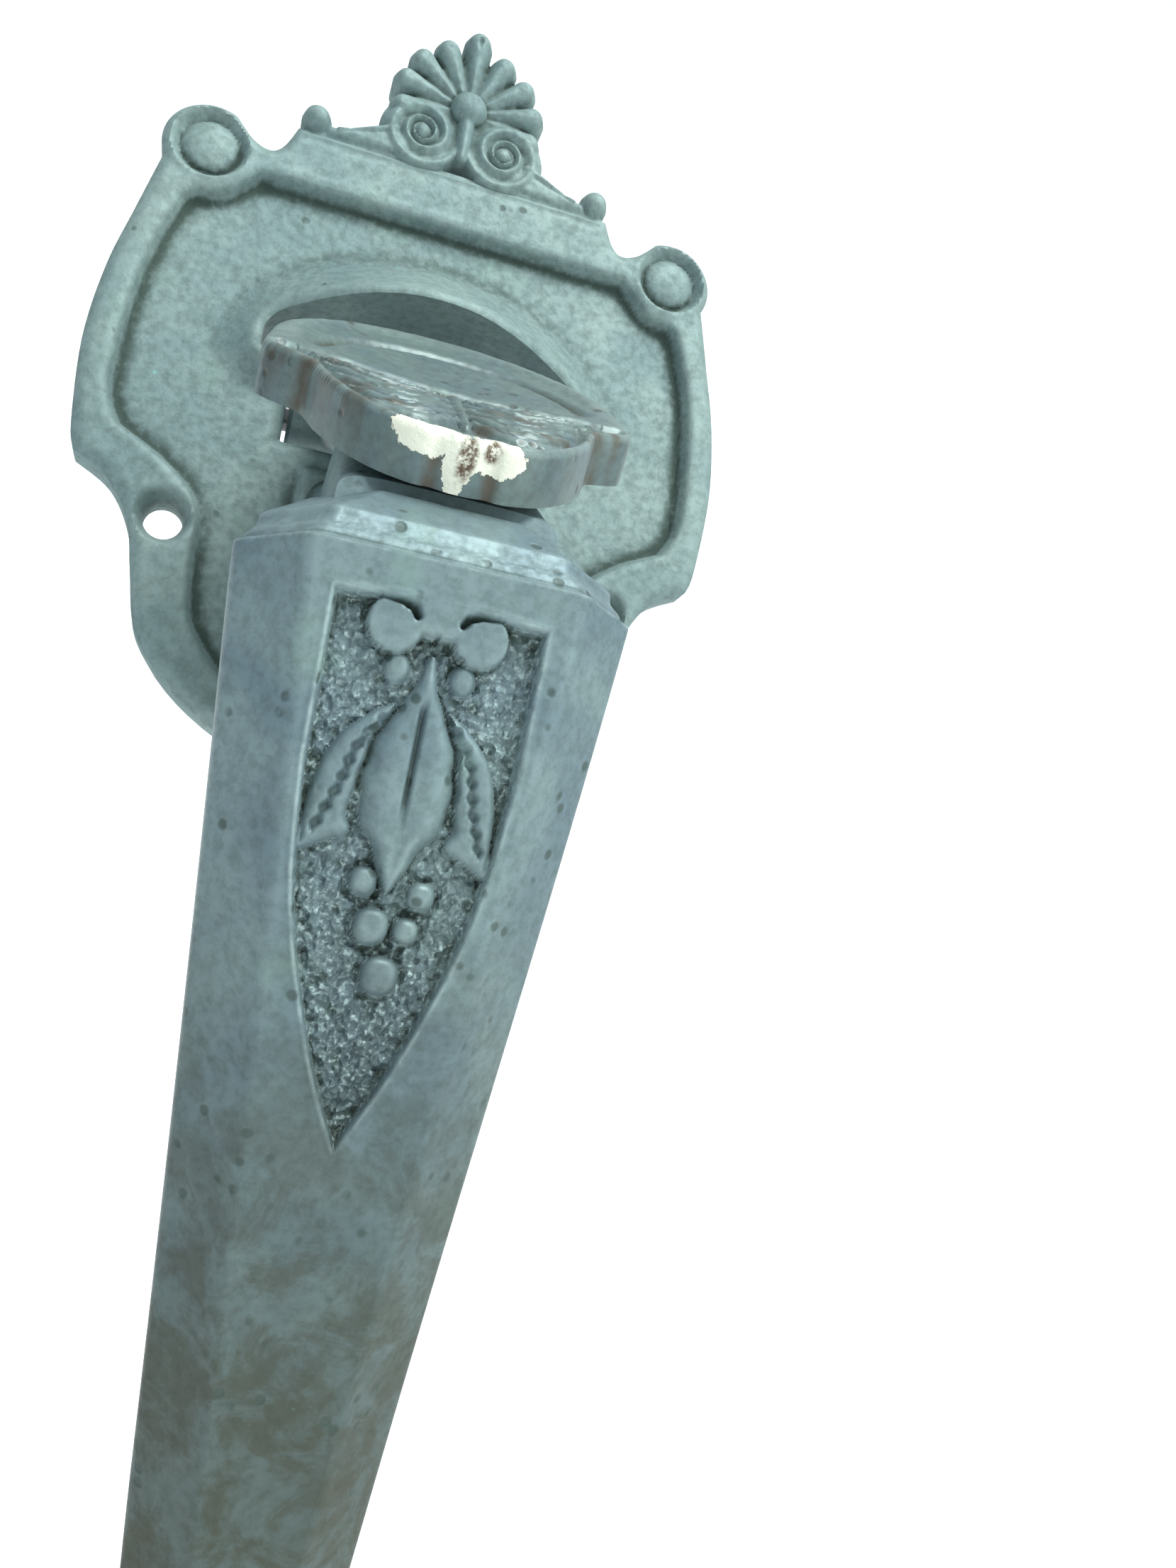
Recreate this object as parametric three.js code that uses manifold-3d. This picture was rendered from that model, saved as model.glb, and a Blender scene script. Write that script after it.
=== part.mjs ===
// Thumb-latch entrance door handle in cast bronze: an ornamented upper plate with a hooded
// lever slot, a thumb lever on a pivot pin, an octagonal bowed grip and a small lower rose.
// Millimetres. +X is to the right seen from the street, +Z is up and the door face is the
// plane Y = 0, so everything that shows stands out towards -Y.
import * as THREE from 'three';
import { mergeVertices } from 'three/addons/utils/BufferGeometryUtils.js';
import Module from 'manifold-3d';

const wasm = await Module();
wasm.setup();

// ---- Driving dimensions ----------------------------------------------------------------
const GAP = 0.3; // left between pieces that touch
const PAST = 1; // how far a cutter runs past the face that it cuts
const ROUND_STEPS = 20; // sides of a small round part
const FINE_STEPS = 36; // sides of a large round part
const MERGE_TOLERANCE = 1e-4;

const plate = { rim: -5, field: -3, seatHalfWidth: 12.6, seatLow: -14.5, seatHigh: 10.2 };
const screwHole = { x: 27.6, z: 0, radius: 2.35, sinkRadius: 3.3, sinkDepth: 1 };
const rosette = { x: 31.1, z: 49.6, lobe: 5.9, recess: 4.4, depth: 1.5, dome: 2.6 };
const crest = { z: 65.5, fingers: 9, pitchDeg: 26, radius: 1.9, thickness: 5, boss: 3.1 };
const crestReach = { middle: 10.4, side: 8.7 };
const hood = { z: 24, halfWidth: 24, rise: 17.5, depth: 13.2, archRadius: 60, archCrown: 32.5 };
const slot = { halfWidth: 16.2, low: 14, shoulder: 20, archHalfWidth: 20.5 };

const pivot = { y: 3.5, z: 20, pinRadius: 2, hubRadius: 5, hubHalf: 15.5, clearance: 0.3 };
const lug = { inner: 16, outer: 20, halfHeight: 5, back: 9 };
const pin = { headRadius: 3.1, headLength: 1.6, tail: 3.2, clipRadius: 3.1, clipThick: 0.8 };

const pad = { y: -18.5, z: 23.8, slopeDeg: 37.5, thickness: 5.5, discRadius: 19, length: 46.6 };
const leverNeckHalf = 12;
const leverNeckSide = [ // [y, z] round the neck between the hub and the pad
  [1, 15.4], [-9, 14.4], [-18.6, 15.2], [-24, 13.4], [-22.4, 18], [-18.2, 22.2],
  [-12, 22.4], [-6, 23.4], [1.5, 24.6], [4, 22], [4, 18],
];
const tail = { tiltDeg: 10, halfWidth: 5, start: 3, end: 17, low: -2.6, high: 2 };
const tongue = { start: 5.5, end: 50, halfWidth: 4.5, thickness: 2.5 };
const rivet = { shank: 1.5, head: 2.6, headHeight: 1.2, first: 8.6, second: 14.2 };

const grip = { top: -17, bottom: -152, faceTop: 12.19, faceEnd: 4.7, chamfer: 6, footChamfer: 5 };
const gripStations = 18;
const capRings = [[-9.6, 5.6], [-13.5, 1.7], [-14.9, 1.5], [-16.3, 0.6], [-16.9, 0.5]]; // z, inset
const footEnd = { widthShare: 0.86, depthShare: 0.96, forward: 0.4, drop: 1.6 };
const gripNeckHalf = 10.5;
const gripNeckSide = [ // [y, z] round the neck between the plate and the grip
  [-5.3, -13], [-16, -13.4], [-22, -14.6], [-26.5, -17], [-30, -21], [-34, -24],
  [-49.5, -14], [-49.5, -7.7], [-26.5, 9], [-5.3, 9],
];
const panel = { depth: 1.6, relief: 1.1, topZ: -20.8, tipZ: -67.4, halfWidth: 9.3 };

const rose = { z: -142, halfWidth: 23, halfHeight: 26, rim: -5, field: -3.6, border: 3.6 };
const roseHoleX = 16.2;

const screw = { radius: 2.6, head: 4.7, headHeight: 2, slotWidth: 1.2, slotDepth: 0.9 };
const upperScrew = { z: -8, end: -19 };
const lowerScrew = { z: -145, end: -14 };
const dowel = { radius: 1.5, back: -1.6, front: -10 };
const upperDowelZ = 5.5;
const lowerDowelZ = -134;
const counterbore = { radius: 5.2, depth: 2.6 };

// ---- Materials -------------------------------------------------------------------------
const finishes = {
  plateBronze: { color: 0x8a9a92, roughness: 0.55, metalness: 0.55 },
  gripBronze: { color: 0x76837f, roughness: 0.45, metalness: 0.65 },
  leverBronze: { color: 0x7a8688, roughness: 0.42, metalness: 0.65 },
  steel: { color: 0x8d8f92, roughness: 0.35, metalness: 0.9 },
  brass: { color: 0xa98f4e, roughness: 0.4, metalness: 0.9 },
};

// ---- Solid tools -----------------------------------------------------------------------
/** Turns a closed geometry into a solid that can be joined and cut. */
function solid(geometry) {
  const bare = geometry.clone();
  bare.deleteAttribute('normal');
  bare.deleteAttribute('uv');
  const merged = mergeVertices(bare, MERGE_TOLERANCE);
  return new wasm.Manifold(new wasm.Mesh({
    numProp: 3,
    vertProperties: new Float32Array(merged.attributes.position.array),
    triVerts: new Uint32Array(merged.index.array),
  }));
}

/** Makes the named mesh of a finished solid. */
function piece(name, body, finish) {
  const { vertProperties, triVerts } = body.getMesh();
  const geometry = new THREE.BufferGeometry();
  geometry.setAttribute('position', new THREE.BufferAttribute(vertProperties, 3));
  geometry.setIndex(new THREE.BufferAttribute(triVerts, 1));
  geometry.computeVertexNormals();
  const mesh = new THREE.Mesh(geometry, new THREE.MeshStandardMaterial(finish));
  mesh.name = name;
  return mesh;
}

/** Joins a list of solids. */
const joined = (bodies) => bodies.reduce((whole, body) => whole.add(body));

/** Extrudes a front-view outline (x across, y up) from the plane y = back out to y = front. */
function slab(outline, back, front) {
  const options = { depth: back - front, bevelEnabled: false, curveSegments: FINE_STEPS };
  const geometry = new THREE.ExtrudeGeometry(outline, options);
  geometry.rotateX(Math.PI / 2);
  geometry.translate(0, back, 0);
  return solid(geometry);
}

/** Extrudes a side-view outline, given as [y, z] points, to both sides of x = 0. */
function sideSlab(points, halfWidth) {
  const shape = new THREE.Shape(points.map(([y, z]) => new THREE.Vector2(y, z)));
  const options = { depth: 2 * halfWidth, bevelEnabled: false };
  const geometry = new THREE.ExtrudeGeometry(shape, options);
  geometry.applyMatrix4(new THREE.Matrix4().makeBasis(
    new THREE.Vector3(0, 1, 0),
    new THREE.Vector3(0, 0, 1),
    new THREE.Vector3(1, 0, 0),
  ));
  geometry.translate(-halfWidth, 0, 0);
  return solid(geometry);
}

/** A round bar along Y at (x, z). */
function barY(radius, back, front, x, z, steps = ROUND_STEPS, frontRadius = radius) {
  const geometry = new THREE.CylinderGeometry(radius, frontRadius, back - front, steps);
  geometry.translate(x, (back + front) / 2, z);
  return solid(geometry);
}

/** A round bar along X on the axis (y, z). */
function barX(radius, left, right, y, z, steps = ROUND_STEPS) {
  const geometry = new THREE.CylinderGeometry(radius, radius, right - left, steps);
  geometry.rotateZ(Math.PI / 2);
  geometry.translate((left + right) / 2, y, z);
  return solid(geometry);
}

/** Skins a row of rings, each with the same number of points, and closes both ends. */
function loft(rings) {
  const count = rings[0].length;
  const points = rings.flat();
  const faces = [];
  for (let ring = 0; ring < rings.length - 1; ring += 1) {
    for (let i = 0; i < count; i += 1) {
      const a = ring * count + i;
      const b = ring * count + ((i + 1) % count);
      faces.push(a, b, a + count, b, b + count, a + count);
    }
  }
  for (const [start, flip] of [[0, true], [(rings.length - 1) * count, false]]) {
    const centre = new THREE.Vector3();
    points.slice(start, start + count).forEach((p) => centre.addScaledVector(p, 1 / count));
    const hub = points.push(centre) - 1;
    for (let i = 0; i < count; i += 1) {
      const a = start + i;
      const b = start + ((i + 1) % count);
      faces.push(...(flip ? [b, a, hub] : [a, b, hub]));
    }
  }
  const geometry = new THREE.BufferGeometry().setFromPoints(points);
  geometry.setIndex(faces);
  return solid(geometry);
}

/** Points of a right-hand outline and of its mirror image, as one closed shape. */
function mirroredShape(path, divisions) {
  const right = path.getPoints(divisions);
  const left = right.filter((p) => Math.abs(p.x) > MERGE_TOLERANCE).reverse()
    .map((p) => new THREE.Vector2(-p.x, p.y));
  return new THREE.Shape([...right, ...left]);
}

const vectors = (pairs) => pairs.map(([x, y]) => new THREE.Vector2(x, y));

// ---- Upper plate -----------------------------------------------------------------------
/** Outer edge of the plate: round belly, waisted shoulders, bulging sides and two lobes. */
function plateOutline() {
  const path = new THREE.Path();
  path.moveTo(0, -28.5);
  path.bezierCurveTo(9, -28.5, 19, -25, 25, -18.6);
  path.quadraticCurveTo(29, -14, 30, -7.3);
  path.quadraticCurveTo(31, 2.4, 39, 5.9);
  path.splineThru(vectors([[39.9, 9.1], [40.8, 20], [40, 30], [38.2, 38.5], [36.4, 46.6]]));
  path.absarc(rosette.x, rosette.z, rosette.lobe, -0.5, 2.0, false);
  path.quadraticCurveTo(26.6, 52.2, 24, 51.7);
  path.quadraticCurveTo(21.6, 52.6, 21, 56);
  path.lineTo(0, 56);
  return mirroredShape(path, 5);
}

/** Inner edge of the rim, which steps round the screw holes and the two lobes. */
function fieldOutline() {
  const path = new THREE.Path();
  path.moveTo(0, -23.4);
  path.bezierCurveTo(8, -23.4, 14, -21.6, 18, -17.8);
  path.splineThru(vectors([[22.4, -12], [23.6, -5], [24.2, 2], [28.6, 6.6], [34.8, 10]]));
  path.splineThru(vectors([[36.7, 14], [36.9, 22], [35.9, 32], [33.4, 41]]));
  path.lineTo(31.6, 43.2);
  path.splineThru(vectors([[28.6, 43.8], [26.4, 45.8], [24.4, 47.8]]));
  path.lineTo(0, 47.8);
  return mirroredShape(path, 4);
}

/** Lever opening: square below for the hub and arched above under the hood. */
function slotOutline() {
  const arch = new THREE.Path();
  const centreZ = hood.archCrown - hood.archRadius;
  const endAngle = Math.acos(slot.archHalfWidth / hood.archRadius);
  arch.moveTo(0, slot.low);
  arch.lineTo(slot.halfWidth, slot.low);
  arch.lineTo(slot.halfWidth, slot.shoulder);
  arch.absarc(0, centreZ, hood.archRadius, endAngle, Math.PI / 2, false);
  return mirroredShape(arch, 12);
}

/** Domed brow over the slot, cut away below by the arch. */
function hoodBrow() {
  const dome = new THREE.SphereGeometry(1, FINE_STEPS, ROUND_STEPS);
  dome.rotateX(Math.PI / 2);
  dome.scale(hood.halfWidth, hood.depth, hood.rise);
  dome.translate(0, plate.field, hood.z);
  const arch = barY(hood.archRadius, PAST, -hood.depth - hood.rise, 0,
    hood.archCrown - hood.archRadius, 2 * FINE_STEPS);
  const behind = new THREE.BoxGeometry(3 * hood.halfWidth, hood.depth, 3 * hood.rise);
  behind.translate(0, hood.depth / 2 + plate.field + PAST, hood.z);
  return solid(dome).subtract(arch).subtract(solid(behind));
}

/** Fan of rounded fingers on a base with two end balls. */
function crestFan() {
  const bodies = [];
  const half = (crest.fingers - 1) / 2;
  for (let i = -half; i <= half; i += 1) {
    const reach = i === 0 ? crestReach.middle : crestReach.side;
    const angle = THREE.MathUtils.degToRad(i * crest.pitchDeg);
    const finger = new THREE.Shape();
    finger.moveTo(-crest.radius * 0.6, 0);
    finger.lineTo(crest.radius * 0.6, 0);
    finger.lineTo(crest.radius, reach);
    finger.absarc(0, reach, crest.radius, 0, Math.PI, false);
    const geometry = new THREE.ExtrudeGeometry(
      finger, { depth: crest.thickness, bevelEnabled: false, curveSegments: 8 });
    geometry.rotateX(Math.PI / 2);
    geometry.rotateY(angle);
    geometry.translate(0, 0, crest.z);
    bodies.push(solid(geometry));
  }
  const base = new THREE.Path();
  base.moveTo(0, 55);
  base.lineTo(20.9, 55);
  base.lineTo(20.9, 57.6);
  base.absarc(19, 57.6, 2.1, 0, Math.PI, false);
  base.quadraticCurveTo(14.4, 57.6, 11.3, 60.6);
  base.lineTo(9.6, 66);
  base.lineTo(6, 71.4);
  base.lineTo(0, 73.6);
  bodies.push(slab(mirroredShape(base, 8), 0, -crest.thickness));
  bodies.push(barY(crest.boss, 0, -crest.thickness - 1.2, 0, crest.z, ROUND_STEPS, 1.6));
  return joined(bodies);
}

/** A cutter for one screw hole with a light countersink. */
function screwHoleCutter(x, z, frontY) {
  const bore = barY(screwHole.radius, PAST, frontY - PAST, x, z);
  const sink = barY(screwHole.radius, frontY + screwHole.sinkDepth, frontY - GAP, x, z,
    ROUND_STEPS, screwHole.sinkRadius);
  return bore.add(sink);
}

/** A cutter from the door side for a screw's head and shank. */
function screwSeatCutter(z, through) {
  const head = barY(counterbore.radius, PAST, -counterbore.depth, 0, z);
  return head.add(barY(screw.radius + GAP, PAST, through, 0, z));
}

/** Two ears behind the plate that carry the pivot pin. */
function pivotLugs() {
  const side = [
    [-1, pivot.z - lug.halfHeight], [lug.back - 2, pivot.z - lug.halfHeight],
    [lug.back, pivot.z - lug.halfHeight + 2], [lug.back, pivot.z + lug.halfHeight - 2],
    [lug.back - 2, pivot.z + lug.halfHeight], [-1, pivot.z + lug.halfHeight],
  ];
  const block = sideSlab(side, lug.outer);
  return block.subtract(sideSlab([[-2, 0], [lug.back + 1, 0], [lug.back + 1, 40], [-2, 40]],
    lug.inner));
}

function upperPlate() {
  const sunk = slab(fieldOutline(), plate.field, plate.rim - PAST);
  const bodies = [slab(plateOutline(), 0, plate.rim).subtract(sunk)];
  const seat = new THREE.Shape(vectors([
    [-plate.seatHalfWidth, plate.seatLow], [plate.seatHalfWidth, plate.seatLow],
    [plate.seatHalfWidth, plate.seatHigh], [-plate.seatHalfWidth, plate.seatHigh],
  ]));
  bodies.push(slab(seat, -1, plate.rim), hoodBrow(), crestFan(), pivotLugs());
  let body = joined(bodies).subtract(slab(slotOutline(), PAST, plate.field - PAST));
  for (const side of [-1, 1]) {
    body = body.subtract(barY(rosette.recess, plate.rim + rosette.depth, plate.rim - PAST,
      side * rosette.x, rosette.z));
    body = body.add(barY(rosette.dome, plate.rim + rosette.depth + PAST, plate.rim + 0.1,
      side * rosette.x, rosette.z, ROUND_STEPS, rosette.dome / 2));
    body = body.subtract(screwHoleCutter(side * screwHole.x, screwHole.z, plate.rim));
  }
  body = body.subtract(screwSeatCutter(upperScrew.z, plate.rim - PAST));
  body = body.subtract(barY(dowel.radius + GAP, dowel.back + GAP, plate.rim - PAST, 0,
    upperDowelZ));
  return body.subtract(
    barX(pivot.pinRadius + GAP, -lug.outer - PAST, lug.outer + PAST, pivot.y, pivot.z));
}

// ---- Thumb lever and its linkage -------------------------------------------------------
/** Plan of the thumb pad: a disc behind, short ears at the sides and a deep bowed front. */
function padOutline() {
  const path = new THREE.Path();
  path.moveTo(0, 0);
  path.absarc(0, pad.discRadius, pad.discRadius, -Math.PI / 2, 0, false);
  path.splineThru(vectors([[19.3, 22], [19.4, 25.4], [18.9, 26.8]]));
  path.lineTo(15, 29.6);
  path.splineThru(vectors([[14.1, 31.4], [13.3, 35.2], [10.9, 40.4], [8, 44]]));
  path.splineThru(vectors([[4.9, 46.1], [2.4, pad.length], [1.1, pad.length - 0.4]]));
  path.lineTo(0, pad.length - 0.2);
  return mirroredShape(path, 10);
}

function thumbLever() {
  const slope = THREE.MathUtils.degToRad(pad.slopeDeg);
  const top = new THREE.ExtrudeGeometry(
    padOutline(), { depth: pad.thickness, bevelEnabled: false });
  top.translate(0, 0, -pad.thickness);
  top.rotateZ(Math.PI);
  top.rotateX(slope);
  top.translate(0, pad.y, pad.z);

  const neck = sideSlab(leverNeckSide, leverNeckHalf);
  const tailBlock = sideSlab([
    [tail.start, tail.low], [tail.end, tail.low], [tail.end, tail.high], [tail.start, tail.high],
  ], tail.halfWidth);
  let root = tailBlock;
  for (const along of [rivet.first, rivet.second]) {
    const hole = new THREE.CylinderGeometry(
      rivet.shank + GAP, rivet.shank + GAP, 4 * tail.halfWidth, ROUND_STEPS);
    hole.rotateX(Math.PI / 2);
    hole.translate(0, along, 0);
    root = root.subtract(solid(hole));
  }
  const placed = root.rotate([tail.tiltDeg, 0, 0]).translate([0, pivot.y, pivot.z]);
  const hub = barX(pivot.hubRadius, -pivot.hubHalf, pivot.hubHalf, pivot.y, pivot.z, FINE_STEPS);
  const bore = barX(pivot.pinRadius + pivot.clearance, -pivot.hubHalf - PAST,
    pivot.hubHalf + PAST, pivot.y, pivot.z);
  return joined([solid(top), neck, hub, placed]).subtract(bore);
}

/** Flat steel strip with a round end that lifts the latch inside the door. */
function liftTongue() {
  const strip = new THREE.Shape();
  strip.moveTo(-tongue.halfWidth, tongue.start);
  strip.lineTo(tongue.halfWidth, tongue.start);
  strip.absarc(0, tongue.end - tongue.halfWidth, tongue.halfWidth, 0, Math.PI, false);
  for (const along of [rivet.first, rivet.second]) {
    const hole = new THREE.Path();
    hole.absarc(0, along, rivet.shank + GAP, 0, 2 * Math.PI, true);
    strip.holes.push(hole);
  }
  const options = { depth: tongue.thickness, bevelEnabled: false, curveSegments: 10 };
  const geometry = new THREE.ExtrudeGeometry(strip, options);
  geometry.translate(0, 0, tail.high + GAP);
  return solid(geometry);
}

/** Round rivet, headed above the tongue and below the tail. */
function tongueRivet(along) {
  const bottom = tail.low - GAP;
  const top = tail.high + GAP + tongue.thickness + GAP;
  const profile = vectors([
    [0, bottom - rivet.headHeight], [rivet.head * 0.7, bottom - rivet.headHeight],
    [rivet.head, bottom - rivet.headHeight / 2], [rivet.head, bottom], [rivet.shank, bottom],
    [rivet.shank, top], [rivet.head, top], [rivet.head, top + rivet.headHeight / 2],
    [rivet.head * 0.7, top + rivet.headHeight], [0, top + rivet.headHeight],
  ]);
  const geometry = new THREE.LatheGeometry(profile, ROUND_STEPS);
  geometry.rotateX(Math.PI / 2);
  geometry.translate(0, along, 0);
  return solid(geometry);
}

/** Pivot pin with a head on the left and a clip groove on the right. */
function pivotPin() {
  const end = lug.outer + pin.tail;
  const head = barX(pin.headRadius, -lug.outer - GAP - pin.headLength, -lug.outer - GAP,
    pivot.y, pivot.z);
  const shank = barX(pivot.pinRadius, -lug.outer - GAP - PAST / 2, end, pivot.y, pivot.z);
  const grooveLeft = lug.outer + GAP;
  const grooveRight = grooveLeft + pin.clipThick + 2 * GAP;
  const ring = barX(pivot.pinRadius + PAST, grooveLeft, grooveRight, pivot.y, pivot.z)
    .subtract(barX(pivot.pinRadius - 0.5, grooveLeft - PAST, grooveRight + PAST,
      pivot.y, pivot.z));
  return joined([head, shank]).subtract(ring);
}

/** Spring clip, a flat ring with a mouth, that sits in the pin's groove. */
function pinClip() {
  const left = lug.outer + 2 * GAP;
  const right = left + pin.clipThick;
  const ring = barX(pin.clipRadius, left, right, pivot.y, pivot.z)
    .subtract(barX(pivot.pinRadius - 0.5 + GAP, left - PAST, right + PAST, pivot.y, pivot.z));
  const mouth = new THREE.BoxGeometry(6, 2 * pin.clipRadius, 2.2);
  mouth.translate(left, pivot.y + pin.clipRadius, pivot.z);
  return ring.subtract(solid(mouth));
}

// ---- Grip ------------------------------------------------------------------------------
const frontLine = new THREE.CubicBezierCurve(
  ...vectors([[-56.7, grip.top], [-48, -58], [-20.5, -112], [-18.5, grip.bottom]]));
const backLine = new THREE.CubicBezierCurve(
  ...vectors([[-30.7, grip.top], [-27.5, -60], [-1, -112], [-3, grip.bottom]]));

/** Half width of the grip's front face at height z. */
function faceHalf(z) {
  const drop = (grip.top - z) / 100;
  return Math.max(grip.faceTop - 9.05 * drop + 1.15 * drop * drop, grip.faceEnd);
}

/** Y of the grip's front face at height z, by halving the curve's parameter. */
function frontAt(z) {
  let low = 0;
  let high = 1;
  for (let i = 0; i < 30; i += 1) {
    const middle = (low + high) / 2;
    if (frontLine.getPoint(middle).y > z) low = middle;
    else high = middle;
  }
  return frontLine.getPoint(low).x;
}

/** One octagonal section, pulled in by inset, between a front and a back point (y, z). */
function octagon(front, back, half, chamfer, inset = 0) {
  const face = half - inset;
  const side = half + chamfer - inset;
  const corners = [
    [-face, inset], [face, inset], [side, inset + chamfer], [side, -inset - chamfer],
    [face, -inset], [-face, -inset], [-side, -inset - chamfer], [-side, inset + chamfer],
  ];
  return corners.map(([x, along], i) => {
    const fromFront = i < 3 || i === 7;
    const depth = back.x - front.x;
    const share = fromFront ? along / depth : 1 + along / depth;
    return new THREE.Vector3(x, front.x + share * depth, front.y + share * (back.y - front.y));
  });
}

/** Outline of the sunken panel: straight flanks above, pointed arch below. */
function panelOutline() {
  const path = new THREE.Path();
  path.moveTo(0, panel.tipZ);
  path.splineThru(vectors([[2.9, -61.6], [5, -56.2], [6.9, -50.4], [8.3, -44], [9.2, -35]]));
  path.lineTo(panel.halfWidth, panel.topZ);
  path.lineTo(0, panel.topZ);
  return mirroredShape(path, 3).getPoints();
}

/** A body over a front-view outline that follows the grip's front face. */
function onFace(points, outer, inner) {
  const ring = (offset) => points.map((p) => new THREE.Vector3(p.x, frontAt(p.y) + offset, p.y));
  return loft([ring(inner), ring(outer)]);
}

/** Points round an ellipse at (x, z), turned by a lean in degrees. */
function ellipse(x, z, rx, rz, leanDeg = 0) {
  const lean = THREE.MathUtils.degToRad(leanDeg);
  return new THREE.EllipseCurve(x, z, rx, rz, 0, 2 * Math.PI, false, lean).getPoints(14).slice(1);
}

/** Leaves, scroll ends, buds and berries that stand on the panel's floor. */
function panelRelief() {
  const shapes = [ellipse(0, -35, 4, 9.6)];
  for (const side of [-1, 1]) {
    shapes.push(ellipse(side * 2.7, -22.2, 2.8, 2.6));
    shapes.push(ellipse(side * 3, -26.6, 1.2, 1.3));
    shapes.push(ellipse(side * 6, -36, 1.9, 6.6, side * 22));
  }
  shapes.push(ellipse(-1.2, -47.3, 1.6, 1.7), ellipse(0.6, -51.3, 1.6, 1.7));
  return shapes.map((points) => onFace(points, panel.depth - panel.relief, panel.depth + 1));
}

function gripBody() {
  const rings = [];
  for (const [z, inset] of capRings) {
    rings.push(octagon(new THREE.Vector2(frontLine.v0.x, z), new THREE.Vector2(backLine.v0.x, z),
      grip.faceTop, grip.chamfer, inset));
  }
  for (let i = 0; i <= gripStations; i += 1) {
    const t = i / gripStations;
    const front = frontLine.getPoint(t);
    const back = backLine.getPoint(t);
    const chamfer = THREE.MathUtils.lerp(grip.chamfer, grip.footChamfer,
      THREE.MathUtils.smoothstep(t, 0.6, 1));
    rings.push(octagon(front, back, faceHalf(front.y), chamfer));
  }
  rings.push(rings.at(-1).map((p) => new THREE.Vector3(
    p.x * footEnd.widthShare, p.y * footEnd.depthShare + footEnd.forward, p.z - footEnd.drop)));
  const neck = sideSlab(gripNeckSide, gripNeckHalf);
  let body = loft(rings.map((ring) => ring.slice().reverse())).add(neck);
  body = body.subtract(onFace(panelOutline(), -PAST, panel.depth));
  body = joined([body, ...panelRelief()]);
  const behind = new THREE.BoxGeometry(60, 30, 60);
  behind.translate(0, 15 + rose.rim - GAP, rose.z + 4);
  body = body.subtract(solid(behind));
  for (const { z, end } of [upperScrew, lowerScrew]) {
    body = body.subtract(barY(screw.radius + GAP, 0, end - GAP, 0, z));
  }
  for (const z of [upperDowelZ, lowerDowelZ]) {
    body = body.subtract(barY(dowel.radius + GAP, 0, dowel.front - GAP, 0, z));
  }
  return body;
}

// ---- Lower rose and fixings --------------------------------------------------------------
function lowerRose() {
  const oval = (rx, rz) => new THREE.Shape(
    new THREE.EllipseCurve(0, rose.z, rx, rz, 0, 2 * Math.PI).getPoints(FINE_STEPS).slice(1));
  const foot = new THREE.Shape(vectors([
    [-11.5, rose.z + 21], [-11.5, rose.z - 13], [11.5, rose.z - 13], [11.5, rose.z + 21]]));
  let body = slab(oval(rose.halfWidth, rose.halfHeight), 0, rose.rim);
  body = body.subtract(slab(oval(rose.halfWidth - rose.border, rose.halfHeight - rose.border),
    rose.field, rose.rim - PAST));
  body = body.add(slab(foot, -1, rose.rim));
  for (const side of [-1, 1]) {
    body = body.subtract(screwHoleCutter(side * roseHoleX, rose.z, rose.field));
  }
  body = body.subtract(screwSeatCutter(lowerScrew.z, rose.rim - PAST));
  return body.subtract(barY(dowel.radius + GAP, dowel.back + GAP, rose.rim - PAST, 0,
    lowerDowelZ));
}

/** Slotted machine screw that holds one end of the grip from behind. */
function gripScrew({ z, end }) {
  const back = -GAP;
  const head = barY(screw.head, back, back - screw.headHeight, 0, z);
  const shank = barY(screw.radius, back - PAST, end, 0, z);
  const slotCut = new THREE.BoxGeometry(3 * screw.head, 2 * screw.slotDepth, screw.slotWidth);
  slotCut.translate(0, back, z);
  return head.add(shank).subtract(solid(slotCut));
}

// ---- The whole handle ----------------------------------------------------------------------
const handle = new THREE.Group();
handle.add(
  piece('upper_plate', upperPlate(), finishes.plateBronze),
  piece('grip', gripBody(), finishes.gripBronze),
  piece('lower_rose', lowerRose(), finishes.plateBronze),
  piece('upper_grip_screw', gripScrew(upperScrew), finishes.brass),
  piece('lower_grip_screw', gripScrew(lowerScrew), finishes.brass),
  piece('upper_dowel', barY(dowel.radius, dowel.back, dowel.front, 0, upperDowelZ),
    finishes.steel),
  piece('lower_dowel', barY(dowel.radius, dowel.back, dowel.front, 0, lowerDowelZ),
    finishes.steel),
  piece('pivot_pin', pivotPin(), finishes.steel),
  piece('pin_clip', pinClip(), finishes.steel),
  piece('thumb_lever', thumbLever(), finishes.leverBronze),
);

const linkage = new THREE.Group();
linkage.position.set(0, pivot.y, pivot.z);
linkage.rotation.x = THREE.MathUtils.degToRad(tail.tiltDeg);
linkage.add(
  piece('lift_tongue', liftTongue(), finishes.steel),
  piece('tongue_rivet_front', tongueRivet(rivet.first), finishes.steel),
  piece('tongue_rivet_rear', tongueRivet(rivet.second), finishes.steel),
);
handle.add(linkage);

export default handle;
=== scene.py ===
"""Cast bronze thumb-latch door handle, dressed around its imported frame.

Shapes are worked out in millimetres in the frame's own axes (X right, Y into the door, Z up)
and turned into metres when a mesh is made.
"""

import logging
import math
from dataclasses import dataclass, field
from enum import Enum
from typing import Callable, Sequence

import bpy
import numpy as np
from mathutils import Matrix, Vector


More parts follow.
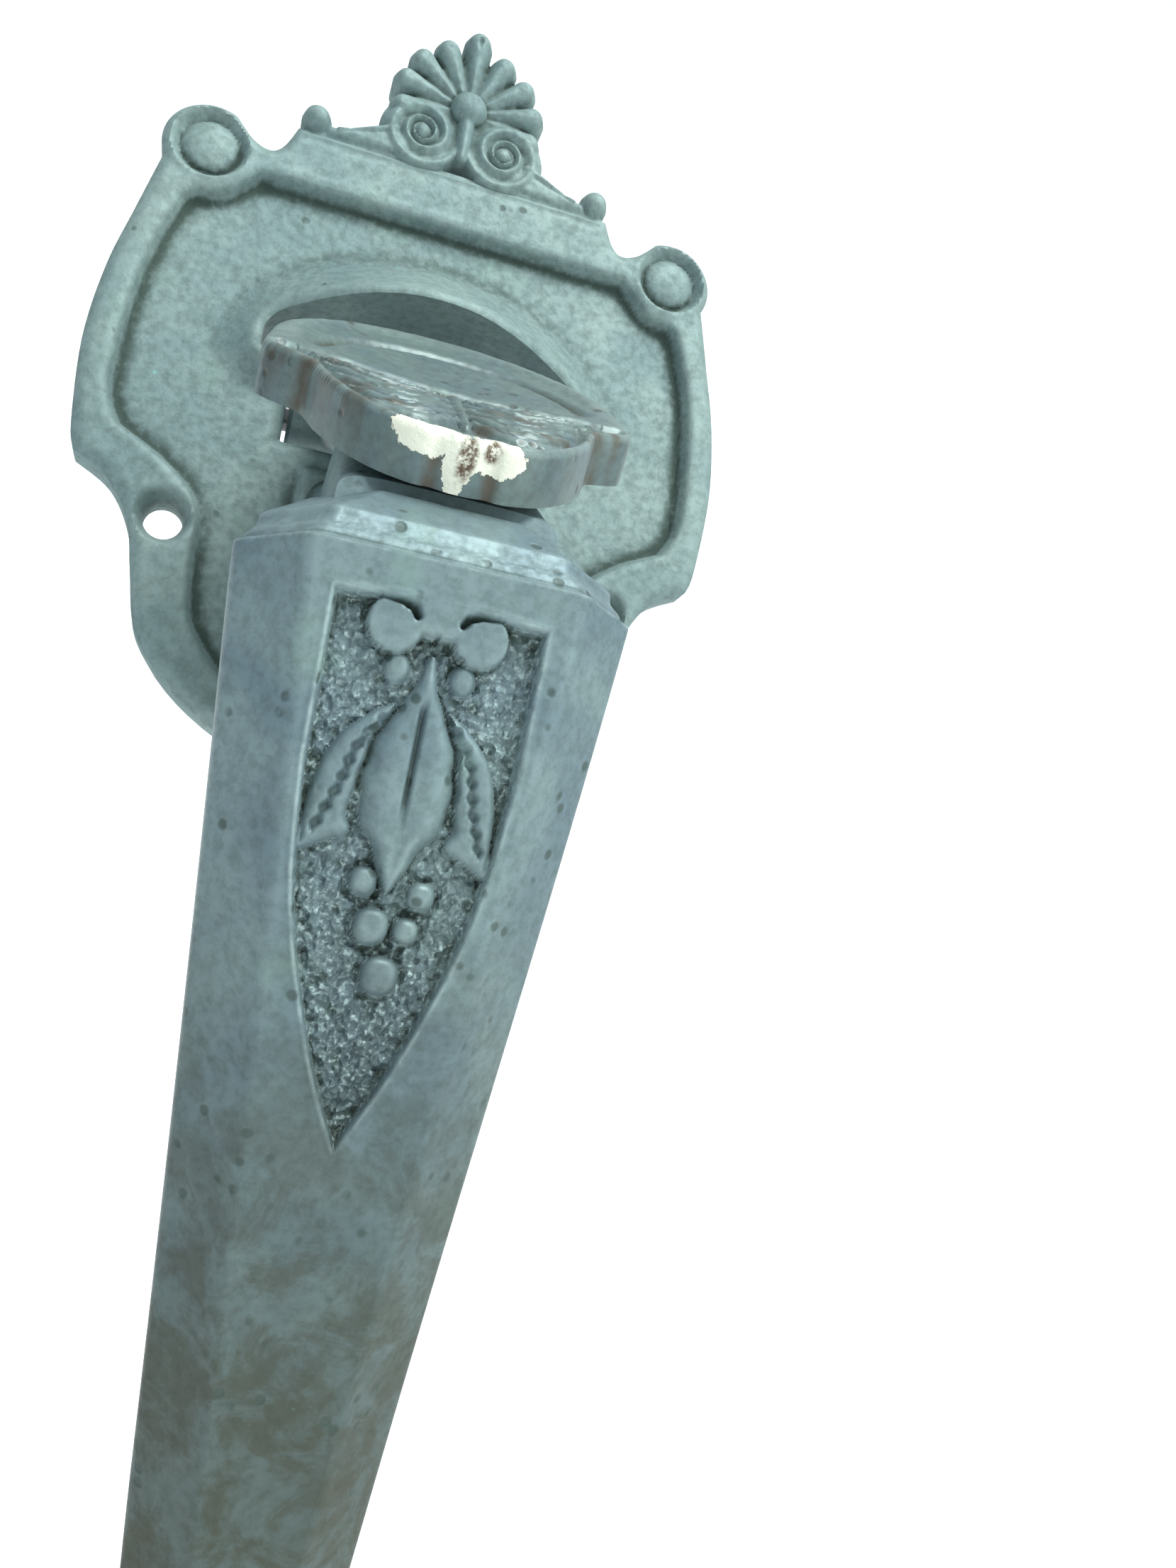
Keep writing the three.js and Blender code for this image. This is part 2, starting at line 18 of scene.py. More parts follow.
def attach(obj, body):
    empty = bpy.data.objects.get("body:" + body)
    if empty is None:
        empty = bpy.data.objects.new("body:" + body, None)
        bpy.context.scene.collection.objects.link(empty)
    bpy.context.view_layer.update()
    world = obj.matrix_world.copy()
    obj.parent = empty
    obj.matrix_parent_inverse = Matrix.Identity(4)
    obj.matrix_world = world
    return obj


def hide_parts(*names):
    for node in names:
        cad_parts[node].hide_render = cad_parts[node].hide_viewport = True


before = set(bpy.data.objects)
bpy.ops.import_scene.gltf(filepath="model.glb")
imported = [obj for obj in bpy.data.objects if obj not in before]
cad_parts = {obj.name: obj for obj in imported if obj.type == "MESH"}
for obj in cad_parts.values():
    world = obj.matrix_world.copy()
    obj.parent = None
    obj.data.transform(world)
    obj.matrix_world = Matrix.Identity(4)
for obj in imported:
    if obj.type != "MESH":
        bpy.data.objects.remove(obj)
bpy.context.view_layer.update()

Array = np.ndarray
Plane = Callable[[Array, Array], Array]
LOG = logging.getLogger("handle")
MM = 0.001
TAU = 2.0 * math.pi
PAD_REAR_Y, PAD_REAR_Z = -18.5, 23.8  # rear rim of the thumb pad's top, in millimetres
PAD_SLOPE = math.radians(37.5)  # fall of the pad towards its front
DEEP_MM = 0.9  # a hollow or ridge this far from the smoothed surface counts in full
FALL_MM = 2.0  # how far the surface counts as falling away outside a casting


# ---- Bodies and slots ----------------------------------------------------------------
class Body(Enum):
    """The moving bodies of the frame."""

    HANDLE = "handle_body"
    LEVER = "lever"


class Slot(Enum):
    """Material slots of the record."""

    PLATE = "plate_bronze"
    GRIP = "grip_bronze"
    LEVER = "lever_bronze"
    STEEL = "steel"
    BRASS = "screw_brass"


# ---- Curves --------------------------------------------------------------------------
def bezier(corners: Sequence[Sequence[float]], share: Array) -> Array:
    """Cubic curve of four control points: the Bernstein sum of the points.

    Args:
        corners: four control points.
        share: places along the curve, 0 to 1.

    Returns:
        One point for each place.
    """
    a, b, c, d = (np.asarray(p, float) for p in corners)
    t = np.asarray(share, float)[..., None]
    s = 1.0 - t
    return s**3 * a + 3 * s**2 * t * b + 3 * s * t**2 * c + t**3 * d


def spline(points: Sequence[Sequence[float]], steps: int = 6) -> Array:
    """Smooth curve through points: a Catmull-Rom cubic on each span.

    Args:
        points: the points that it passes, ends included.
        steps: straight pieces on each span.

    Returns:
        Points along the curve, both ends included.
    """
    p = np.asarray(points, float)
    padded = np.vstack([p[:1], p, p[-1:]])
    p0, p1, p2, p3 = padded[:-3], padded[1:-2], padded[2:-1], padded[3:]
    t = (np.arange(steps) / steps)[None, :, None]
    a, b, c, d = (q[:, None, :] for q in (p0, p1, p2, p3))
    body = 0.5 * (2 * b + (c - a) * t + (2 * a - 5 * b + 4 * c - d) * t**2
                  + (3 * b - a - 3 * c + d) * t**3)
    return np.vstack([body.reshape(-1, p.shape[1]), p[-1:]])


def arc(centre: Sequence[float], radius: float, start: float, end: float,
        steps: int = 20) -> Array:
    """Points of a circular arc from one angle to another, in radians."""
    angle = np.linspace(start, end, steps + 1)
    return np.stack([centre[0] + radius * np.cos(angle),
                     centre[1] + radius * np.sin(angle)], axis=1)


def mirrored(right: Sequence[Array]) -> Array:
    """Joins stretches of a right-hand outline and adds their mirror image.

    Args:
        right: stretches in order, from the lowest point on the centre line to the highest.

    Returns:
        The closed outline, once round.
    """
    path = np.vstack([np.atleast_2d(np.asarray(part, float)) for part in right])
    fresh = np.r_[True, np.hypot(*np.diff(path, axis=0).T) > 1e-6]
    path = path[fresh]
    left = path[::-1] * [-1.0, 1.0]
    left = left[np.abs(left[:, 0]) > 1e-6]
    return np.vstack([path, left])


# ---- Distances and profiles ----------------------------------------------------------
def polygon_distance(x: Array, z: Array, outline: Array) -> Array:
    """Signed distance to a closed outline, below zero inside it.

    The distance is the least over all edges, and the sign comes from the number of edges that
    a ray to the right crosses.

    Args:
        x: first coordinates, any shape.
        z: second coordinates, the same shape.
        outline: corners of the outline, (n, 2).

    Returns:
        Distances in the shape of x.
    """
    a = outline
    b = np.roll(outline, -1, axis=0)
    edge = b - a
    length2 = np.maximum((edge**2).sum(axis=1), 1e-12)
    flat = np.stack([x.ravel(), z.ravel()], axis=1)
    result = np.empty(len(flat))
    for part in np.array_split(np.arange(len(flat)), max(1, len(flat) // 6000)):
        p = flat[part][:, None, :]
        off = p - a
        share = np.clip((off * edge).sum(axis=2) / length2, 0.0, 1.0)
        gap2 = ((off - share[..., None] * edge) ** 2).sum(axis=2).min(axis=1)
        above_a = a[:, 1] > p[..., 1]
        above_b = b[:, 1] > p[..., 1]
        rise = np.where(np.abs(edge[:, 1]) < 1e-12, 1e-12, edge[:, 1])
        cross_x = a[:, 0] + (p[..., 1] - a[:, 1]) * edge[:, 0] / rise
        inside = ((above_a != above_b) & (p[..., 0] < cross_x)).sum(axis=1) % 2 == 1
        result[part] = np.sqrt(gap2) * np.where(inside, -1.0, 1.0)
    return result.reshape(x.shape)


def capsule(x: Array, z: Array, start: Sequence[float], end: Sequence[float],
            radius: float, end_radius: float | None = None) -> Array:
    """Signed distance to a rod with round ends whose radius may taper."""
    end_radius = radius if end_radius is None else end_radius
    dx, dz = end[0] - start[0], end[1] - start[1]
    share = np.clip(((x - start[0]) * dx + (z - start[1]) * dz) / (dx * dx + dz * dz), 0, 1)
    gap = np.hypot(x - start[0] - share * dx, z - start[1] - share * dz)
    return gap - (radius + share * (end_radius - radius))


def disc(x: Array, z: Array, centre: Sequence[float], radius: float) -> Array:
    """Signed distance to a round disc."""
    return np.hypot(x - centre[0], z - centre[1]) - radius


def chain(x: Array, z: Array, line: Sequence[Sequence[float]], radius: float = 0.0,
          end_radius: float = 0.0) -> Array:
    """Signed distance to a row of rods along a line, each tapering the same way."""
    return np.minimum.reduce([capsule(x, z, p, q, radius, end_radius)
                              for p, q in zip(line[:-1], line[1:])])


def averaged(values: Array, count: int) -> Array:
    """Running mean over an odd count of neighbours, with the ends held."""
    held = np.pad(values, count // 2, mode="edge")
    return np.convolve(held, np.ones(count) / count, mode="valid")


def step_up(value: Array, low: float, high: float) -> Array:
    """Smooth step: 0 below low, 1 above high, cubic between."""
    t = np.clip((value - low) / (high - low), 0.0, 1.0)
    return t * t * (3.0 - 2.0 * t)


def bump(value: Array, half: float) -> Array:
    """Raised cosine: 1 at zero, 0 beyond half."""
    return 0.5 + 0.5 * np.cos(np.pi * np.clip(value / half, -1.0, 1.0))


def dome(distance: Array, radius: float) -> Array:
    """Quarter-round swell: 0 at the edge, 1 at a depth of radius inside it."""
    t = np.clip(-distance / radius, 0.0, 1.0)
    return np.sqrt(np.maximum(1.0 - (1.0 - t) ** 2, 0.0))


def fillet(depth: Array, radius: float) -> Array:
    """Drop of a rounded edge: radius at depth 0 and nothing from a depth of radius on."""
    t = np.clip(radius - depth, 0.0, radius)
    return radius - np.sqrt(np.maximum(radius**2 - t**2, 0.0))


def eased(depth: Array, radius: float) -> Array:
    """Drop of a softly rounded edge: 0.7 of the radius at depth 0, by a parabola."""
    return 0.7 * radius * np.clip(1.0 - depth / radius, 0.0, 1.0) ** 2


def smooth_top(a: Array, b: Array, blend: float) -> Array:
    """The higher of two surfaces, with their crease rounded over blend."""
    share = np.clip(0.5 + 0.5 * (a - b) / blend, 0.0, 1.0)
    return b + (a - b) * share + blend * share * (1.0 - share)


def value_noise(x: Array, z: Array, cell: float, seed: int) -> Array:
    """Smooth random relief: lattice values of one seed, blended by smooth steps.

    Args:
        x: first coordinates.
        z: second coordinates.
        cell: lattice spacing in the same unit.
        seed: number that fixes the lattice.

    Returns:
        Values from -1 to 1.
    """
    size = 256
    lattice = np.random.default_rng(seed).uniform(-1.0, 1.0, (size, size))
    u, v = x / cell + 97.3, z / cell + 61.7
    i, j = np.floor(u).astype(int), np.floor(v).astype(int)
    s, t = u - i, v - j
    s, t = s * s * (3 - 2 * s), t * t * (3 - 2 * t)
    i0, i1, j0, j1 = i % size, (i + 1) % size, j % size, (j + 1) % size
    low = lattice[i0, j0] * (1 - s) + lattice[i1, j0] * s
    high = lattice[i0, j1] * (1 - s) + lattice[i1, j1] * s
    return low * (1 - t) + high * t


def blurred(values: Array, cells: float) -> Array:
    """Gaussian blur of a grid, as a product in the frequency plane."""
    pad = int(math.ceil(3 * cells))
    wide = np.pad(values, pad, mode="edge")
    fx = np.fft.fftfreq(wide.shape[0])[:, None]
    fz = np.fft.rfftfreq(wide.shape[1])[None, :]
    low_pass = np.exp(-2.0 * (np.pi * cells) ** 2 * (fx**2 + fz**2))
    soft = np.fft.irfft2(np.fft.rfft2(wide) * low_pass, s=wide.shape)
    return soft[pad:-pad, pad:-pad]


# ---- Meshes --------------------------------------------------------------------------
@dataclass
class Draft:
    """A mesh in millimetres before it becomes an object."""

    points: Array
    quads: Array
    tris: Array
    marks: dict[str, Array] = field(default_factory=dict)

    def volume(self) -> float:
        """Signed volume: a sixth of the sum of corner products over all triangles."""
        p = self.points
        split = [self.tris, self.quads[:, [0, 1, 2]], self.quads[:, [0, 2, 3]]]
        t = np.vstack([part for part in split if len(part)])
        return float(np.einsum("ij,ij->i", p[t[:, 0]], np.cross(p[t[:, 1]], p[t[:, 2]])).sum() / 6)

    def outward(self) -> "Draft":
        """The same mesh with its faces turned to point out."""
        if self.volume() < 0:
            self.quads = self.quads[:, ::-1]
            self.tris = self.tris[:, ::-1]
        return self


NO_TRIS = np.zeros((0, 3), int)


def build(draft: Draft, name: str, sharp_deg: float = 42.0) -> bpy.types.Object:
    """Makes the Blender object of a draft.

    Args:
        draft: the mesh in millimetres.
        name: the object's name.
        sharp_deg: edges that turn more than this stay crisp.

    Returns:
        The new object, at the origin.
    """
    draft.outward()
    mesh = bpy.data.meshes.new(name)
    faces = draft.quads.tolist() + draft.tris.tolist()
    mesh.from_pydata((draft.points * MM).tolist(), [], faces)
    mesh.polygons.foreach_set("use_smooth", np.ones(len(faces), bool))
    for mark, values in draft.marks.items():
        layer = mesh.attributes.new(mark, "FLOAT", "POINT")
        layer.data.foreach_set("value", values.astype(np.float32))
    mesh.update()
    mesh.set_sharp_from_angle(angle=math.radians(sharp_deg))
    obj = bpy.data.objects.new(name, mesh)
    bpy.context.collection.objects.link(obj)
    return obj


def skinned(rings: Array, marks: dict[str, Array] | None = None) -> Draft:
    """Closes a stack of rings into a solid: quads between rings and a fan on each end.

    Args:
        rings: points, (rings, points in a ring, 3).
        marks: values on the same grid, by name.

    Returns:
        The closed mesh.
    """
    rows, count = rings.shape[:2]
    index = np.arange(rows * count).reshape(rows, count)
    nxt = np.roll(index, -1, axis=1)
    quads = np.stack([index[:-1], nxt[:-1], nxt[1:], index[1:]], axis=-1).reshape(-1, 4)
    ends = rings[[0, -1]].mean(axis=1)
    points = np.vstack([rings.reshape(-1, 3), ends])
    hub = rows * count
    first = np.stack([nxt[0], index[0], np.full(count, hub)], axis=1)
    last = np.stack([index[-1], nxt[-1], np.full(count, hub + 1)], axis=1)
    grown = {}
    for mark, values in (marks or {}).items():
        grown[mark] = np.r_[values.ravel(), values[0].mean(), values[-1].mean()]
    return Draft(points, quads, np.vstack([first, last]), grown)


def turned(profile: Sequence[Sequence[float]], axis: str, at: Sequence[float],
           steps: int = 48, closed: bool = False) -> Draft:
    """A turned part: a profile of (radius, along) carried round an axis.

    Args:
        profile: radius and place along the axis, in order.
        axis: "X" or "Y".
        at: a point on the axis.
        steps: points round the part.
        closed: True for a ring whose profile closes on itself.

    Returns:
        The closed mesh.
    """
    p = np.asarray(profile, float)
    angle = np.arange(steps) * TAU / steps
    radius, along = p[:, :1], np.repeat(p[:, 1:], steps, axis=1)
    a, b = radius * np.cos(angle), radius * np.sin(angle)
    order = (along, a, b) if axis == "X" else (a, along, b)
    rings = np.stack(order, axis=-1) + np.asarray(at, float)
    if not closed:
        return skinned(rings)
    index = np.arange(rings.shape[0] * steps).reshape(-1, steps)
    nxt, after = np.roll(index, -1, axis=1), np.roll(index, -1, axis=0)
    quads = np.stack([index, nxt, np.roll(nxt, -1, axis=0), after], axis=-1).reshape(-1, 4)
    return Draft(rings.reshape(-1, 3), quads, NO_TRIS)


def joined(drafts: Sequence[Draft]) -> Draft:
    """Puts several closed meshes in one, each turned outward first."""
    points, quads, tris, shift = [], [], [], 0
    names = sorted(set().union(*(d.marks for d in drafts)))
    marks: dict[str, list[Array]] = {name: [] for name in names}
    for draft in drafts:
        draft.outward()
        points.append(draft.points)
        quads.append(draft.quads + shift)
        tris.append(draft.tris + shift)
        for name in names:
            marks[name].append(draft.marks.get(name, np.zeros(len(draft.points))))
        shift += len(draft.points)
    merged = {name: np.concatenate(parts) for name, parts in marks.items()}
    return Draft(np.vstack(points), np.vstack(quads), np.vstack(tris), merged)


def squircle(count: int, power: float) -> tuple[Array, Array]:
    """Unit rounded square: cosine and sine, each raised to 2 / power with its sign kept."""
    angle = np.arange(count) * TAU / count
    c, s = np.cos(angle), np.sin(angle)
    return (np.sign(c) * np.abs(c) ** (2 / power), np.sign(s) * np.abs(s) ** (2 / power))


@dataclass
class Relief:
    """A casting given as a height over its flat back, cut to an outline.

    Attributes:
        step: grid spacing in millimetres.
        low: lowest corner of the grid.
        high: highest corner of the grid.
        edge: signed distance to the casting's outline, below zero on metal.
        height: height over the back from the two coordinates and the depth inside the edge.
        marks: further values to store, by name, from the two coordinates.
        hollow_width: width in millimetres over which a hollow counts as deep.
    """

    step: float
    low: tuple[float, float]
    high: tuple[float, float]
    edge: Plane
    height: Callable[[Array, Array, Array], Array]
    marks: dict[str, Plane] = field(default_factory=dict)
    hollow_width: float = 1.6

    def snapped(self, x: Array, z: Array) -> tuple[Array, Array]:
        """Moves points on to the outline by four steps down the distance's slope."""
        h = 0.02
        for _ in range(4):
            d = self.edge(x, z)
            gx = (self.edge(x + h, z) - self.edge(x - h, z)) / (2 * h)
            gz = (self.edge(x, z + h) - self.edge(x, z - h)) / (2 * h)
            size = np.maximum(gx**2 + gz**2, 0.3)
            shift = np.clip(d / size, -self.step * 1.5, self.step * 1.5)
            x, z = x - shift * gx, z - shift * gz
        return x, z

    def draft(self, back: float = 0.0) -> Draft:
        """Works out the closed mesh in the plane's own axes (x, z, height).

        The front is the height on a grid whose cells lie inside the outline. Its border points
        are moved on to the outline, walls join them to the back, and the back is the same grid
        laid flat.

        Args:
            back: height of the flat back.

        Returns:
            Points (x, z, height) with marks hollow, for painted shade, and ridge, for painted
            highlight and wear.
        """
        xs = np.arange(self.low[0], self.high[0] + self.step, self.step)
        zs = np.arange(self.low[1], self.high[1] + self.step, self.step)
        x, z = np.meshgrid(xs, zs, indexing="ij")
        d = self.edge(x, z)
        keep = d < 0.3 * self.step
        number = np.full(x.shape, -1)
        number[keep] = np.arange(keep.sum())
        corners = np.stack([number[:-1, :-1], number[1:, :-1], number[1:, 1:],
                            number[:-1, 1:]], axis=-1).reshape(-1, 4)
        held = (corners >= 0).sum(axis=1)
        quads = corners[held == 4]
        three = corners[held == 3]
        tris = three[three >= 0].reshape(-1, 3)
        used = np.unique(np.r_[quads.ravel(), tris.ravel()])
        renumber = np.full(keep.sum(), -1)
        renumber[used] = np.arange(len(used))
        quads, tris = renumber[quads], renumber[tris]
        px, pz = x[keep][used], z[keep][used]

        pairs = np.vstack([quads[:, [0, 1]], quads[:, [1, 2]], quads[:, [2, 3]],
                           quads[:, [3, 0]], tris[:, [0, 1]], tris[:, [1, 2]], tris[:, [2, 0]]])
        count = len(used)
        code = np.minimum(*pairs.T) * count + np.maximum(*pairs.T)
        _, first, times = np.unique(code, return_index=True, return_counts=True)
        border = pairs[first[times == 1]]
        rim = np.unique(border)
        px[rim], pz[rim] = self.snapped(px[rim], pz[rim])

        depth = np.maximum(-self.edge(px, pz), 0.0)
        depth[rim] = 0.0
        top = self.height(px, pz, depth)
        # Hollow and ridge marks from the height minus its blur: painted shade in recesses, painted
        # highlight with wear on raised parts and outer edges.
        full = self.height(x, z, np.maximum(-d, 0.0)) - np.where(d > 0, FALL_MM, 0.0)
        soft = full - blurred(full, self.hollow_width / self.step)
        rough = soft[keep][used]
        rough[rim] = 0.0
        marks = {"hollow": np.clip(-rough / DEEP_MM, 0, 1),
                 "ridge": np.clip(rough / DEEP_MM, 0, 1)}
        for name, plane in self.marks.items():
            marks[name] = plane(px, pz)
        front = np.stack([px, pz, top], axis=1)
        rear = np.stack([px, pz, np.full(count, back)], axis=1)
        walls = np.stack([border[:, 1], border[:, 0], border[:, 0] + count,
                          border[:, 1] + count], axis=1)
        all_quads = np.vstack([quads, walls, quads[:, ::-1] + count])
        all_tris = np.vstack([tris, tris[:, ::-1] + count])
        double = {name: np.r_[values, np.zeros(count)] for name, values in marks.items()}
        double["stain"] = np.tile(marks.get("stain", np.zeros(count)), 2)
        return Draft(np.vstack([front, rear]), all_quads, all_tris, double)


def stand_up(draft: Draft) -> Draft:
    """Turns a relief's axes (x, z, height) into the frame's (x, minus height, z)."""
    draft.points = np.stack([draft.points[:, 0], -draft.points[:, 2], draft.points[:, 1]], 1)
    return draft


# ---- Finishes ------------------------------------------------------------------------
class Graph:
    """A node material that is written as nested calls."""

    def __init__(self, name: str) -> None:
        """Starts a material with an empty tree."""
        self.material = bpy.data.materials.new(name)
        self.material.use_nodes = True
        self.tree = self.material.node_tree
        self.tree.nodes.clear()
        self.place = self.node("ShaderNodeTexCoord").outputs["Object"]

    def node(self, kind: str, **inputs: object) -> bpy.types.Node:
        """Adds a node; sockets are wired and plain values are set by input name or number."""
        made = self.tree.nodes.new(kind)
        for key, value in inputs.items():
            socket = made.inputs[int(key[1:]) if key[1:].isdigit() else key.replace("_", " ")]
            if isinstance(value, bpy.types.NodeSocket):
                self.tree.links.new(value, socket)
            else:
                socket.default_value = value
        return made

    def noise(self, per_metre: float, detail: float = 4.0, rough: float = 0.55,
              warp: float = 0.0) -> bpy.types.NodeSocket:
        """Fractal noise over the piece's own space."""
        made = self.node("ShaderNodeTexNoise", Vector=self.place, Scale=per_metre,
                         Detail=detail, Roughness=rough, Distortion=warp)
        return made.outputs[0]

    def cells(self, per_metre: float) -> bpy.types.NodeSocket:
        """Distance to the nearest of many scattered points."""
        return self.node("ShaderNodeTexVoronoi", Vector=self.place,
                         Scale=per_metre).outputs["Distance"]

    def height(self) -> bpy.types.NodeSocket:
        """Height in the piece's own space, in metres."""
        return self.node("ShaderNodeSeparateXYZ", Vector=self.place).outputs["Z"]

    def mark(self, name: str) -> bpy.types.NodeSocket:
        """A value that the mesh stores on its points."""
        made = self.node("ShaderNodeAttribute")
        made.attribute_name = name
        return made.outputs["Fac"]

    def math(self, what: str, a: object, b: object = 0.0) -> bpy.types.NodeSocket:
        """One sum on two values."""
        made = self.node("ShaderNodeMath", _0=a, _1=b)
        made.operation = what
        return made.outputs[0]

    def times(self, a: object, b: object) -> bpy.types.NodeSocket:
        """The product of two values."""
        return self.math("MULTIPLY", a, b)

    def blob(self, place: "Place") -> bpy.types.NodeSocket:
        """Distance from a leaning ellipsoid's middle, 1 on its surface."""
        made = self.node("ShaderNodeMapping", Vector=self.place)
        made.vector_type = "TEXTURE"
        made.inputs["Location"].default_value = place.middle
        made.inputs["Rotation"].default_value = (place.lean, 0.0, 0.0)
        made.inputs["Scale"].default_value = place.radii
        size = self.node("ShaderNodeVectorMath", _0=made.outputs[0])
        size.operation = "LENGTH"
        return size.outputs["Value"]

    def span(self, value: object, low: float, high: float, to_low: float = 0.0,
             to_high: float = 1.0) -> bpy.types.NodeSocket:
        """Smoothly maps low..high on to another range."""
        made = self.node("ShaderNodeMapRange", _0=value, _1=low, _2=high, _3=to_low, _4=to_high)
        made.interpolation_type = "SMOOTHSTEP"
        return made.outputs[0]

    def mix(self, share: object, a: object, b: object) -> bpy.types.NodeSocket:
        """Blends two colours."""
        made = self.tree.nodes.new("ShaderNodeMix")
        made.data_type = "RGBA"
        for socket, value in ((made.inputs[0], share), (made.inputs[6], a), (made.inputs[7], b)):
            if isinstance(value, bpy.types.NodeSocket):
                self.tree.links.new(value, socket)
            else:
                socket.default_value = value
        return made.outputs[2]

    def relief(self, height: object, depth_mm: float, strength: float,
               under: object = None) -> bpy.types.NodeSocket:
        """A bump of a height, on top of another bump if one is given."""
        made = self.node("ShaderNodeBump", Height=height, Distance=depth_mm * MM,
                         Strength=strength)
        if under is not None:
            self.tree.links.new(under, made.inputs["Normal"])
        return made.outputs[0]

    def finish(self, **inputs: object) -> bpy.types.Material:
        """Closes the tree with a metal shader that takes these inputs."""
        shader = self.node("ShaderNodeBsdfPrincipled", **inputs)
        out = self.tree.nodes.new("ShaderNodeOutputMaterial")
        self.tree.links.new(shader.outputs[0], out.inputs[0])
        return self.material


Colour = tuple[float, float, float, float]


def colour(red: float, green: float, blue: float) -> Colour:
    """Linear colour from screen values of 0 to 255."""
    linear = [c / 12.92 if c <= 0.04045 else ((c + 0.055) / 1.055) ** 2.4
              for c in (red / 255, green / 255, blue / 255)]
    return (linear[0], linear[1], linear[2], 1.0)


@dataclass(frozen=True)
class Place:
    """An ellipsoid in the frame, in metres, leaning about X."""

    middle: tuple[float, float, float]
    radii: tuple[float, float, float]
    lean: float


def on_pad(across: float, down: float, drop: float, radii: tuple[float, float, float]) -> Place:
    """An ellipsoid placed on the thumb pad.

    Args:
        across: millimetres to the right of the pad's middle line.
        down: millimetres down the slope from the rear rim.
        drop: millimetres below the pad's top.
        radii: radii across, along the slope and through the pad, in millimetres.

    Returns:
        The ellipsoid in the frame.
    """
    c, s = math.cos(PAD_SLOPE), math.sin(PAD_SLOPE)
    middle = (across * MM, (PAD_REAR_Y - c * down + s * drop) * MM,
              (PAD_REAR_Z - s * down - c * drop) * MM)
    return Place(middle, (radii[0] * MM, radii[1] * MM, radii[2] * MM), PAD_SLOPE)


PAINT_PLACES = (
    on_pad(-3.9, 45.6, 1.0, (3.3, 2.0, 1.9)),
    on_pad(-0.4, 46.4, 2.5, (1.5, 2.2, 2.9)),
    on_pad(2.4, 46.0, 1.4, (3.1, 2.2, 1.8)),
)
RUST_PLACES = (
    on_pad(0.1, 46.4, 2.0, (0.9, 2.0, 2.4)),
    on_pad(2.3, 46.2, 1.0, (0.8, 2.0, 1.2)),
)


